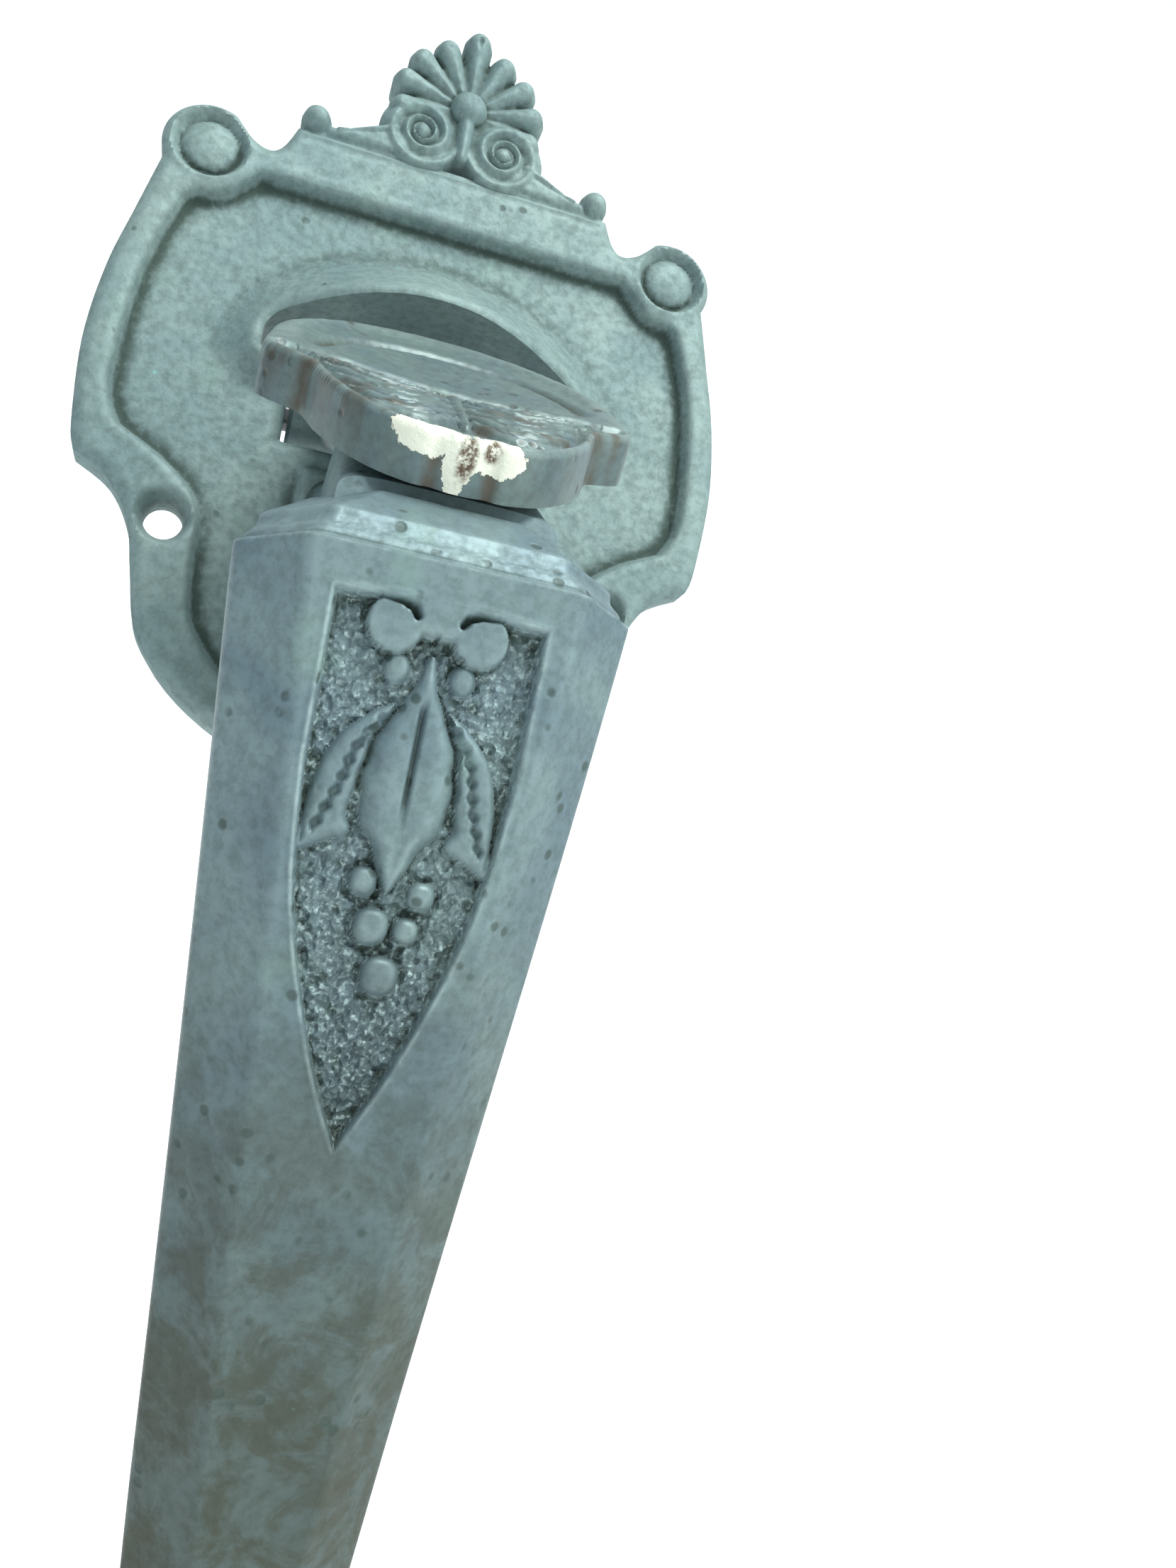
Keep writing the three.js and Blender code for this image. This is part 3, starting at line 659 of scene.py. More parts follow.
@dataclass(frozen=True)
class PatinaBronze:
    """Weathered cast bronze with a mottled patina, painted shade in its hollows and ridges
    lightened by painted highlight and wear.

    Attributes:
        name: material name.
        body: main patina colour.
        cool: second, cooler patina colour.
        dark: colour of the painted shade in the hollows and of the pits.
        worn: colour of rubbed metal, also used for the painted highlight on ridges.
        metal: metalness of the body.
        gloss: roughness of the smooth parts.
        grain_mm: height of the sand-cast grain.
        blotch: blotches per metre.
        pits: share of the surface with dark pits, 0 to 1.
        ridge_lightening: how far the lighter ridges show, painted highlight and rubbed wear
            together, 0 to 1.
        darken_below: height in metres below which the colour turns darker and browner.
        painted: True for the remains of white paint on the lever's front.
    """

    name: str
    body: Colour
    cool: Colour
    dark: Colour
    worn: Colour
    metal: float
    gloss: float
    grain_mm: float
    blotch: float = 90.0
    pits: float = 0.4
    ridge_lightening: float = 0.6
    darken_below: float = -1.0
    painted: bool = False

    def make(self) -> bpy.types.Material:
        """Builds the node material."""
        g = Graph(self.name)
        hollow, ridge = g.mark("hollow"), g.mark("ridge")
        cloud = g.span(g.noise(self.blotch, 5.0, 0.6, 0.4), 0.35, 0.65)
        fine = g.noise(900.0, 5.0, 0.65)
        base = g.mix(cloud, self.body, self.cool)
        base = g.mix(g.span(fine, 0.35, 0.7, 0.0, 0.35), base, self.dark)
        green = g.span(g.noise(self.blotch * 1.7, 4.0, 0.7), 0.56, 0.74, 0.0, 0.3)
        base = g.mix(green, base, colour(120, 150, 136))
        # Painted shade: the hollow mark darkens recesses towards the dark colour in place of
        # occlusion; the same mask makes them rougher and less metallic.
        hollow_shade = g.times(hollow, g.span(fine, 0.2, 0.6, 0.65, 1.0))
        base = g.mix(g.span(hollow_shade, 0.05, 0.75, 0.0, 0.95), base, self.dark)
        # Painted highlight with wear: the ridge mark lightens raised parts towards the worn
        # colour.
        ridge_highlight_and_rub = g.times(ridge, g.span(g.noise(350.0, 5.0, 0.7), 0.3, 0.7, 0.3, 1.0))
        base = g.mix(g.span(ridge_highlight_and_rub, 0.05, 0.8, 0.0, self.ridge_lightening), base, self.worn)
        # Darker towards the bottom: below the set height the colour mixes to dark grey-green and,
        # in blotches, to brown.
        low = g.span(g.height(), self.darken_below, self.darken_below - 0.075)
        base = g.mix(g.times(low, 0.8), base, colour(56, 68, 62))
        brown = g.times(low, g.span(g.noise(150.0, 6.0, 0.7, 0.5), 0.4, 0.6))
        base = g.mix(g.times(brown, 0.8), base, colour(52, 56, 42))
        pit = g.span(g.cells(380.0), 0.12, 0.26, 1.0, 0.0)
        where = g.span(g.noise(110.0, 3.0, 0.6), 0.64 - 0.2 * self.pits, 0.7 - 0.16 * self.pits)
        pit = g.times(pit, where)
        base = g.mix(g.times(pit, 0.75), base, self.dark)
        speck = g.span(g.cells(230.0), 0.045, 0.075, 1.0, 0.0)
        speck = g.times(speck, g.span(g.noise(120.0, 2.0), 0.56, 0.66))
        base = g.mix(g.times(speck, 0.55), base, colour(120, 186, 176))
        stipple = g.mark("stipple")
        grit = g.noise(1900.0, 3.0, 0.6)
        spark = g.times(stipple, g.span(grit, 0.5, 0.72))
        base = g.mix(g.times(spark, 0.8), base, self.worn)
        soot = g.times(stipple, g.span(grit, 0.18, 0.36, 1.0, 0.0))
        base = g.mix(g.times(soot, 0.35), base, self.dark)
        stain = g.times(g.mark("stain"), g.span(g.noise(500.0), 0.3, 0.6, 0.45, 1.0))
        base = g.mix(g.times(stain, 0.9), base, colour(72, 64, 50))
        rough = g.span(g.math("ADD", fine, g.times(hollow_shade, 0.8)), 0.3, 1.2,
                       self.gloss, min(self.gloss + 0.35, 0.95))
        metal = g.span(hollow_shade, 0.0, 0.9, self.metal, self.metal * 0.35)
        normal = g.relief(g.noise(520.0, 6.0, 0.7), self.grain_mm, 0.9)
        normal = g.relief(g.times(stipple, g.cells(1300.0)), 0.45, 1.0, normal)
        normal = g.relief(g.math("SUBTRACT", 0.0, pit), 0.12, 0.8, normal)
        if self.painted:
            base, rough, metal, normal = self.flaking_paint(g, base, rough, metal, normal)
        return g.finish(Base_Color=base, Roughness=rough, Metallic=metal, Normal=normal)

    def flaking_paint(self, g: Graph, base: object, rough: object, metal: object,
                      normal: object) -> tuple[object, object, object, object]:
        """Lays old white paint over a finish, thick at a torn edge and speckled with rust.

        Args:
            g: the material's graph.
            base: colour under the paint.
            rough: roughness under the paint.
            metal: metalness under the paint.
            normal: normal under the paint.

        Returns:
            The same four with the paint on top.
        """
        torn = g.span(g.noise(330.0, 6.0, 0.75, 0.3), 0.25, 0.75, -0.3, 0.3)
        patch = g.blob(PAINT_PLACES[0])
        for place in PAINT_PLACES[1:]:
            patch = g.math("MINIMUM", patch, g.blob(place))
        mask = g.span(g.math("ADD", patch, torn), 1.02, 0.98)
        rusty = g.math("MINIMUM", g.blob(RUST_PLACES[0]), g.blob(RUST_PLACES[1]))
        rusty = g.span(g.math("ADD", rusty, torn), 1.25, 0.6)
        rust = g.times(rusty, g.span(g.noise(1100.0, 5.0, 0.8), 0.36, 0.56))
        skin = g.mix(g.noise(260.0, 3.0), colour(226, 229, 218), colour(206, 208, 188))
        skin = g.mix(rust, skin, colour(84, 66, 50))
        height = g.math("ADD", mask, g.times(g.noise(600.0, 5.0, 0.8), 0.6))
        return (g.mix(mask, base, skin), g.span(mask, 0.0, 1.0, 0.4, 0.85),
                g.times(metal, g.math("SUBTRACT", 1.0, mask)),
                g.relief(g.times(height, mask), 0.35, 1.0, normal))


@dataclass(frozen=True)
class PlainMetal:
    """Turned or rolled hardware metal with fine scratches and dull spots."""

    name: str
    body: Colour
    spot: Colour
    gloss: float

    def make(self) -> bpy.types.Material:
        """Builds the node material."""
        g = Graph(self.name)
        spots = g.span(g.noise(420.0, 5.0, 0.7), 0.45, 0.72)
        line = g.noise(2600.0, 2.0, 0.4)
        base = g.mix(spots, self.body, self.spot)
        rough = g.span(spots, 0.0, 1.0, self.gloss, self.gloss + 0.3)
        normal = g.relief(line, 0.02, 0.5, g.relief(spots, 0.03, 0.6))
        return g.finish(Base_Color=base, Roughness=rough, Metallic=0.9, Normal=normal)


class Finishes:
    """All materials of the handle, made once."""

    def __init__(self) -> None:
        """Makes every finish."""
        dark = colour(52, 68, 62)
        self.plate = PatinaBronze(
            "plate_patina", colour(124, 144, 142), colour(108, 130, 131), dark,
            colour(140, 160, 158), 0.3, 0.62, 0.16, 75.0, 0.1, 0.2).make()
        self.grip = PatinaBronze(
            "grip_patina", colour(116, 136, 138), colour(98, 118, 126), dark,
            colour(166, 186, 186), 0.35, 0.5, 0.05, 60.0, 0.9, 0.65, -0.03).make()
        self.lever = PatinaBronze(
            "lever_patina", colour(95, 114, 112), colour(84, 103, 108), colour(52, 52, 40),
            colour(132, 150, 148), 0.25, 0.62, 0.06, 110.0, 0.9, 0.4, painted=True).make()
        self.steel = PlainMetal("dull_steel", colour(150, 152, 154), colour(104, 100, 96),
                                0.35).make()
        self.brass = PlainMetal("plain_brass", colour(178, 150, 96), colour(120, 96, 62),
                                0.32).make()


def dressed(obj: bpy.types.Object, body: Body, slot: Slot, material: bpy.types.Material,
            *nodes: str) -> bpy.types.Object:
    """Gives a piece its body and material and hides the CAD nodes that it stands for."""
    obj.data.materials.append(material)
    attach(obj, body.value)
    if nodes:
        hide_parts(*nodes)
    LOG.info("%s: %d faces on %s", obj.name, len(obj.data.polygons), body.value)
    return obj


# ---- Upper plate ---------------------------------------------------------------------
@dataclass
class UpperPlate:
    """The ornamented plate: rimmed field, lobes with rosettes, hood, slot and crest."""

    rim: float = 5.0
    ground: float = 3.0
    hole: tuple[float, float, float] = (27.6, 0.0, 2.35)
    lobe: tuple[float, float, float] = (31.1, 49.6, 5.9)
    hood: tuple[float, float, float] = (24.0, 26.5, 19.0)
    hood_depth: float = 15.6
    arch_radius: float = 60.0
    arch_crown: float = 32.5
    arch_half: float = 20.5
    slot_half: float = 16.2
    slot_low: float = 14.0
    seat_screw: tuple[float, float] = (-8.0, 5.2)
    outline: Array = field(init=False)
    field_line: Array = field(init=False)

    def __post_init__(self) -> None:
        """Works out the two outlines once."""
        self.outline, self.field_line = self.outer(), self.inner()

    def outer(self) -> Array:
        """Outer edge: round belly, waist, bulging sides and the two lobes."""
        lobe_x, lobe_z, lobe_r = self.lobe
        share = np.linspace(0, 1, 14)
        return mirrored([
            bezier([(0, -28.5), (9, -28.5), (19, -25), (25, -18.6)], share),
            spline([(25, -18.6), (28.3, -14), (30, -7.3), (31.4, -1.6), (34.4, 3.2), (39, 5.9)]),
            spline([(39, 5.9), (39.9, 9.1), (40.8, 20), (40, 30), (38.2, 38.5), (36.4, 46.6)]),
            arc((lobe_x, lobe_z), lobe_r, -0.5, 2.0, 24),
            spline([(28.6, 54.9), (26.4, 52.6), (24, 51.7), (22.4, 52.8), (21, 56)]),
            [(0, 56)],
        ])

    def inner(self) -> Array:
        """Inner edge of the rim, which steps round the screw holes and the lobes."""
        share = np.linspace(0, 1, 10)
        return mirrored([
            bezier([(0, -23.4), (8, -23.4), (14, -21.6), (18, -17.8)], share),
            spline([(18, -17.8), (22.4, -12), (23.6, -5), (24.2, 2), (28.6, 6.6), (34.8, 10)]),
            spline([(34.8, 10), (36.7, 14), (36.9, 22), (35.9, 32), (33.4, 41), (31.6, 43.2)]),
            spline([(31.6, 43.2), (28.6, 43.8), (26.4, 45.8), (24.4, 47.8)]),
            [(0, 47.8)],
        ])

    def slot_distance(self, x: Array, z: Array) -> Array:
        """Distance into the slot: a box below joined to the arch, below zero in the slot."""
        arch = disc(x, z, (0, self.arch_crown - self.arch_radius), self.arch_radius)
        lean = (self.arch_half - self.slot_half) / 5.0
        half = self.slot_half + np.clip((z - 19.5) * lean, 0.0, lean * 5.0)
        side = np.abs(x) - half
        corner = 2.4
        both = np.hypot(np.maximum(arch + corner, 0), np.maximum(side + corner, 0)) - corner
        rounded = np.minimum(np.maximum(arch, side) + corner, 0.0) + both
        return np.maximum(np.where(z > 24.0, rounded, side), self.slot_low - z)

    def edge(self, x: Array, z: Array) -> Array:
        """Distance to the plate's edge, with its holes taken out."""
        hole_x, hole_z, hole_r = self.hole
        d = polygon_distance(x, z, self.outline)
        d = np.maximum(d, -disc(np.abs(x), z, (hole_x, hole_z), hole_r))
        d = np.maximum(d, -self.slot_distance(x, z))
        return np.maximum(d, -disc(x, z, (0, self.seat_screw[0]), self.seat_screw[1]))

    def height(self, x: Array, z: Array, depth: Array) -> Array:
        """Height of the face: rim, sunken ground, hood, rosettes and countersinks."""
        inner = polygon_distance(x, z, self.field_line)
        grain = 0.07 * value_noise(x, z, 2.3, 5) + 0.05 * value_noise(x, z, 1.1, 6)
        h = self.ground + grain + (self.rim - self.ground - grain) * step_up(inner, -1.15, 0.35)
        h = h - 0.3 * bump(inner + 1.2, 1.0)
        h = h + 0.12 * bump(inner - 1.1, 0.9)
        seat = np.maximum(np.abs(x) - 12.4, np.abs(z + 2.1) - 12.2)
        h = smooth_top(h, self.ground + 2.0 * step_up(-seat, -1.2, 0.4), 0.3)
        hood_z, half, rise = self.hood
        ring = np.clip(1.0 - (x / half) ** 2 - ((z - hood_z) / rise) ** 2, 0.0, 1.0)
        lip = self.slot_distance(x, z)
        brow = self.hood_depth * ring**1.6
        over = step_up(z, 19.0, 26.0)
        h = h + over * (brow - np.minimum(eased(lip, 1.6), brow))
        lobe_x, lobe_z, _ = self.lobe
        rosette = np.hypot(np.abs(x) - lobe_x, z - lobe_z)
        cup = 1.25 * step_up(-rosette, -4.9, -3.7) - 1.15 * np.sqrt(
            np.clip(1.0 - (rosette / 3.5) ** 2, 0.0, 1.0))
        h = h - np.where(rosette < 4.8, cup, 0.0) + 0.25 * bump(rosette - 5.0, 0.8)
        hole_x, hole_z, hole_r = self.hole
        sink = np.hypot(np.abs(x) - hole_x, z - hole_z)
        h = h - 1.0 * step_up(-sink, -(hole_r + 1.0), -hole_r)
        ledge = np.abs(x) < 20.4
        h = h - np.where(ledge, 0.35 * bump(z - 54.3, 0.7), 0.0)
        outer = np.minimum(depth, np.maximum(-polygon_distance(x, z, self.outline), 0.0))
        border = np.where(np.abs(depth - outer) < 0.01, outer, 9.0)
        return h - np.where(over * brow > 0.5, 0.0, eased(border, 1.7))

    def hole_stain(self, x: Array, z: Array) -> Array:
        """How strongly the metal is stained round each screw hole."""
        return bump(np.hypot(np.abs(x) - self.hole[0], z - self.hole[1]), 3.2)

    def casting(self) -> Draft:
        """The plate itself, without the crest."""
        relief = Relief(0.38, (-42.0, -29.5), (42.0, 57.0), self.edge, self.height,
                        {"stain": self.hole_stain})
        return stand_up(relief.draft())

    def crest_edge(self, x: Array, z: Array) -> Array:
        """Distance to the crest's edge: fingers, volutes, arms and end balls together."""
        a = np.abs(x)
        parts = [capsule(x, z, (0, 65.5), tip, 1.2, 1.95) for tip in self.fingers()]
        parts.append(disc(x, z, (0, 65.0), 7.6))
        parts.append(disc(a, z, (5.6, 60.4), 5.6))
        parts.append(capsule(a, z, (7.5, 58.6), (14.5, 56.3), 2.6, 1.2))
        parts.append(capsule(a, z, (14.5, 56.3), (19.0, 56.4), 1.2, 1.3))
        parts.append(disc(a, z, (19.0, 57.7), 1.95))
        parts.append(np.maximum(a - 20.6, np.abs(z - 55.2) - 1.0))
        return np.minimum.reduce(parts)

    @staticmethod
    def fingers() -> list[tuple[float, float]]:
        """Tips of the nine fingers, fanned round the boss."""
        tips = []
        for k in range(-4, 5):
            reach = 10.3 if k == 0 else 8.75
            turn = math.radians(26.0 * k)
            tips.append((reach * math.sin(turn), 65.5 + reach * math.cos(turn)))
        return tips

    def crest_height(self, x: Array, z: Array, depth: Array) -> Array:
        """Height of the crest: swelling fingers, boss, spiral volutes and tapering arms."""
        a = np.abs(x)
        h = np.full(x.shape, 3.3)
        for tip in self.fingers():
            rod = capsule(x, z, (tip[0] * 0.16, 65.5 + (tip[1] - 65.5) * 0.16), tip, 0.75, 1.9)
            far = np.clip(np.hypot(x, z - 65.5) / 11.0, 0.0, 1.0)
            groove = 0.5 * bump(rod + 1.9, 0.5) * step_up(far, 0.75, 0.95)
            h = smooth_top(h, 3.2 + (1.5 + 1.3 * far) * dome(rod, 1.7) - groove, 0.35)
        centre = (5.5, 60.3)
        rho = np.hypot(a - centre[0], z - centre[1])
        phi = np.arctan2(z - centre[1], a - centre[0])
        turns = (np.log(np.maximum(rho, 0.3) / 4.1) / 0.1 + phi) / TAU
        coil = 0.5 + 0.5 * np.cos(TAU * turns)
        volute = 3.8 + 1.0 * dome(rho - 5.4, 1.4) + 0.8 * coil * step_up(rho, 0.6, 1.6)
        volute = np.where(rho < 5.4, volute, 0.0)
        volute = np.maximum(volute, 3.8 + 1.8 * dome(rho - 1.3, 1.3))
        h = smooth_top(h, volute, 0.4)
        arm = capsule(a, z, (8.5, 57.6), (17.0, 56.4), 2.3, 0.9)
        h = smooth_top(h, 3.6 + 1.5 * dome(arm, 1.6), 0.3)
        rib = capsule(a, z, (9.0, 59.5), (16.0, 56.9), 0.7, 0.5)
        h = smooth_top(h, 3.9 + 1.5 * dome(rib, 0.7), 0.3)
        h = smooth_top(h, 3.6 + 2.4 * dome(disc(a, z, (19.0, 57.7), 1.95), 1.9), 0.3)
        stem = capsule(x, z, (0, 65.3), (0, 57.0), 1.4, 0.8)
        h = smooth_top(h, 4.2 + 1.8 * dome(stem, 1.4), 0.3)
        h = smooth_top(h, 4.4 + 2.4 * dome(disc(x, z, (0, 65.5), 2.5), 2.3), 0.3)
        h = h + 0.05 * value_noise(x, z, 0.9, 11)
        return h - fillet(depth, 0.8)

    def crest(self) -> Draft:
        """The palmette crest that stands on the plate's straight top."""
        relief = Relief(0.17, (-22.0, 53.8), (22.0, 79.0), self.crest_edge, self.crest_height,
                        hollow_width=0.9)
        return stand_up(relief.draft(0.3))

    def lugs(self) -> Draft:
        """Two ears behind the plate that carry the pivot pin, with rounded backs."""
        across, up = squircle(40, 5.0)
        sides = []
        for sign in (-1, 1):
            along = np.array([0.0, 0.25, 3.75, 4.0]) + 16.0
            size = np.array([0.93, 1.0, 1.0, 0.93])
            ring = np.stack([
                np.repeat(sign * along[:, None], 40, axis=1),
                4.2 + 4.6 * size[:, None] * across,
                20.0 + 4.9 * size[:, None] * up,
            ], axis=-1)
            sides.append(skinned(ring))
        return joined(sides)

    def seat(self) -> Draft:
        """Stepped cup behind the plate in which the grip's screw head sits."""
        return screw_cup(self.seat_screw[0], self.seat_screw[1], self.rim)

    def make(self, finishes: Finishes) -> None:
        """Builds the plate's pieces and dresses them."""
        node = "upper_plate"
        for name, draft in (("plate_casting", self.casting()), ("plate_crest", self.crest()),
                            ("plate_lugs", self.lugs()), ("plate_screw_seat", self.seat())):
            dressed(build(draft, name), Body.HANDLE, Slot.PLATE, finishes.plate, node)


def screw_cup(z: float, radius: float, front: float) -> Draft:
    """A flanged cup round a screw: wall, floor with a bore, and closed front.

    Args:
        z: height of the screw.
        radius: radius of the hole in the casting.
        front: height of the casting's seat over the door face.

    Returns:
        The closed ring.
    """
    bore, floor = 2.9, 2.6
    profile = [(radius + 0.02, 0.0), (radius + 0.02, -front + 0.05), (bore, -front + 0.05),
               (bore, -floor), (radius - 0.15, -floor), (radius - 0.15, 0.0)]
    return turned(profile, "Y", (0, 0, z), 64, closed=True)


# ---- Grip ----------------------------------------------------------------------------
@dataclass
class Grip:
    """The bowed octagonal grip with its cap, sunken panel and neck."""

    face_top: float = 12.19
    face_end: float = 4.7
    chamfer: float = 6.0
    foot_chamfer: float = 5.0
    bevel: float = 0.35
    front_line: tuple = ((-56.7, -17.0), (-48.0, -58.0), (-20.5, -112.0), (-18.5, -152.0))
    back_line: tuple = ((-30.7, -17.0), (-27.5, -60.0), (-1.0, -112.0), (-3.0, -152.0))
    foot_back: float = -5.3

    def rows(self) -> tuple[Array, Array, Array, Array, Array]:
        """Front points, back points, half faces, chamfers and insets of every section."""
        cap_z = np.array([-9.6, -9.7, -10.2, -11.5, -12.9, -13.35, -13.6, -14.2, -14.8, -15.3,
                          -15.7, -16.1, -16.35, -16.45, -16.75, -16.95])
        inset = np.array([6.1, 5.6, 5.1, 3.8, 2.35, 1.95, 1.75, 1.7, 1.55, 1.25,
                          0.95, 0.75, 0.7, 0.62, 0.5, 0.2])
        fine = np.linspace(-17.05, -69.0, 236)
        coarse = np.linspace(-69.8, -151.0, 76)
        end = np.array([-151.4, -151.75, -151.95, -152.0])
        share = np.linspace(0, 1, 2001)
        front, back = bezier(self.front_line, share), bezier(self.back_line, share)
        wanted = np.r_[fine, coarse, end]
        t = np.interp(-wanted, -front[:, 1], share)
        f = np.stack([np.interp(t, share, front[:, 0]), wanted], axis=1)
        b = np.stack([np.interp(t, share, back[:, 0]), np.interp(t, share, back[:, 1])], axis=1)
        cap_f = np.stack([np.full(16, front[0, 0]), cap_z], axis=1)
        cap_b = np.stack([np.full(16, back[0, 0]), cap_z], axis=1)
        drop = (-17.0 - np.r_[np.full(16, -17.0), wanted]) / 100.0
        half = np.maximum(self.face_top - 9.05 * drop + 1.15 * drop**2, self.face_end)
        blend = step_up(np.r_[np.zeros(16), t], 0.6, 1.0)
        chamfer = self.chamfer + (self.foot_chamfer - self.chamfer) * blend
        ends = np.r_[np.zeros(len(fine) + len(coarse)), [0.25, 0.7, 1.3, 2.2]]
        return (np.vstack([cap_f, f]), np.vstack([cap_b, b]), half, chamfer,
                np.r_[inset, ends])

    def panel_distance(self, x: Array, z: Array) -> Array:
        """Distance to the sunken panel's edge, below zero inside it."""
        outline = mirrored([
            spline([(0, -67.4), (2.9, -61.6), (5, -56.2), (6.9, -50.4), (8.3, -44), (9.2, -35)]),
            [(9.35, -20.9), (2.0, -20.4), (0, -20.4)],
        ])
        return polygon_distance(x, z, outline)

    def panel_relief(self, x: Array, z: Array) -> tuple[Array, Array, Array]:
        """Depth of the panel and its carving below the grip's face.

        The ground lies 1.7 mm down. Scroll ends, buds, leaves and berries are swells whose
        height follows a quarter circle from their edges, and the higher surface wins.

        Args:
            x: distances across the face.
            z: heights along it.

        Returns:
            Relief (zero on the face, below zero in the panel), the stipple mark and the inside
            distance of the panel.
        """
        a = np.abs(x)
        inside = self.panel_distance(x, z)
        grit = 0.2 * value_noise(x, z, 0.62, 21) + 0.14 * value_noise(x, z, 0.34, 22)
        slant = value_noise(x + 0.5 * z, z - 0.5 * x, 0.8, 23)
        floor = -1.6 + 1.3 * grit + 0.3 * slant * step_up(-z, 38, 46)
        carved = np.full(x.shape, -5.0)

        def swell(distance: Array, base: float, rise: float, radius: float) -> None:
            """Adds one swell over the ground to the carving."""
            nonlocal carved
            top = np.where(distance < 0, base + rise * dome(distance, radius), -5.0)
            carved = np.maximum(carved, top)

        moat = np.full(x.shape, 9.0)
        scroll = np.minimum(disc(a, z, (3.75, -22.7), 2.45), np.maximum(a - 3.0, -(z + 23.3)))
        notch = capsule(a, z, (0, -24.4), (0, -23.2), 0.5, 0.1)
        scroll = np.maximum(scroll, -notch)
        hook = [(7.0, -20.8), (5.0, -20.6), (3.4, -20.75), (2.4, -21.2), (2.0, -21.8)]
        curl = chain(a, z, hook, 0.3, 0.25)
        crescent = 1.3 * step_up(-curl, -0.25, 0.2)
        top = 0.02 - 0.5 * (1.0 - dome(scroll, 0.45)) - crescent
        carved = np.maximum(carved, np.where(scroll < 0, top, -5.0))
        swell((np.hypot((a - 2.9) / 1.25, (z + 26.2) / 1.45) - 1.0) * 1.3, -1.7, 1.25, 0.9)
        heights = [-44.8, -44.4, -43.4, -42.0, -40.8, -39.7, -37.8, -35.0, -32.0, -29.5,
                   -27.4, -24.6]
        widths = [0.1, 0.65, 1.05, 1.6, 2.3, 3.3, 3.95, 4.05, 3.45, 2.1, 1.05, 0.35]
        ripple = 0.12 * np.sin((z + 30.0) * 1.9) * step_up(-z, 30, 34)
        half = np.interp(z, heights, widths, left=-1.0, right=-1.0) + ripple
        blade = (a - half) * 0.85
        vein = 0.85 * bump(a, 0.5) * step_up(z, -40.5, -36.0) * step_up(-z, 28.0, 30.0)
        fold = 0.3 * bump(a - 0.5 * half, 0.4 + 0.3 * half) * step_up(-z, 30, 33)
        leaf = -1.45 + 1.35 * dome(blade, 1.3) - vein - 0.3 * a / 4.0 + fold
        line = spline([(2.0, -28.7), (4.2, -30.0), (6.6, -32.4), (7.9, -35.6), (8.35, -39.0),
                       (8.55, -42.8)], 5)
        back = spline([(8.55, -42.8), (7.4, -42.1), (6.2, -41.4), (4.1, -40.3), (4.7, -38.6),
                       (4.2, -36.2), (3.4, -32.8), (2.2, -30.6)], 5)
        wing = polygon_distance(a, z, np.vstack([line, back]))
        rib = spline([(3.2, -30.6), (5.0, -33.2), (5.9, -36.6), (7.4, -40.6)], 5)
        spine = chain(a, z, rib)
        saw = 0.16 * np.sin(z * 4.6)
        side_leaf = -1.5 + 1.25 * dome(wing, 1.2) - 0.75 * bump(spine + saw, 0.55)
        carved = np.maximum(carved, np.where(wing < 0, side_leaf, -5.0))
        gap = 0.9 * bump(blade - 0.1, 0.4) * (a < 5.0)
        carved = np.where(blade < 0, leaf, np.where(carved > -4.0, carved - gap, carved))
        for bx, bz, br in ((-2.1, -44.1, 1.3), (3.1, -44.7, 1.3), (-0.7, -47.8, 1.65),
                           (2.4, -47.8, 1.2), (0.9, -51.9, 1.75)):
            ball = (np.abs(x - bx) ** 2.4 + np.abs(z - bz) ** 2.4) ** (1 / 2.4) - br
            nugget = -1.7 + 1.45 * dome(ball, 1.0)
            carved = np.where(ball < 0, np.maximum(nugget, carved), carved)
            moat = np.minimum(moat, np.abs(ball - 0.3))
        floor = floor - 0.35 * bump(moat, 0.5)
        depth = np.maximum(floor, carved)
        wall = step_up(inside, -0.5, 0.05)
        relief = depth * (1.0 - wall)
        plain = 1.0 - bump(a, 3.4) * (z > -22.0)
        ridge_line = 0.1 * bump(inside - 0.3, 0.35) * plain
        stipple = (1.0 - wall) * (carved <= floor)
        return relief + ridge_line, stipple.astype(float), inside

    def casting(self) -> Draft:
        """The grip's body: octagonal sections, the panel sunk into the front face.

        Each section's eight corners lie between its front and back point. Points are spread
        along every side, short of the corners by the bevel, so that the ridges are rounded.
        """
        front, back, half, chamfer, inset = self.rows()
        depth = back[:, 0] - front[:, 0]
        face, side = half - inset, half + chamfer - inset
        lean = inset + chamfer
        across = np.stack([-face, face, side, side, face, -face, -side, -side], axis=1)
        far = depth - inset
        along = np.stack([inset, inset, lean, depth - lean, far, far, depth - lean, lean], 1)
        share = along / depth[:, None]
        y = front[:, :1] + along
        z = front[:, 1:] + share * (back[:, 1:] - front[:, 1:])
        corners = np.stack([across, y, z], axis=-1)
        counts = (132, 12, 8, 8, 14, 8, 8, 12)
        pieces, fronts, edge_marks = [], [], []
        for k, count in enumerate(counts):
            start, end = corners[:, k], corners[:, (k + 1) % 8]
            length = np.linalg.norm((end - start).mean(axis=0))
            cut = self.bevel / length
            w = np.linspace(cut, 1 - cut, count)
            pieces.append(start[:, None] * (1 - w)[:, None] + end[:, None] * w[:, None])
            fronts.append(np.full(count, k == 0))
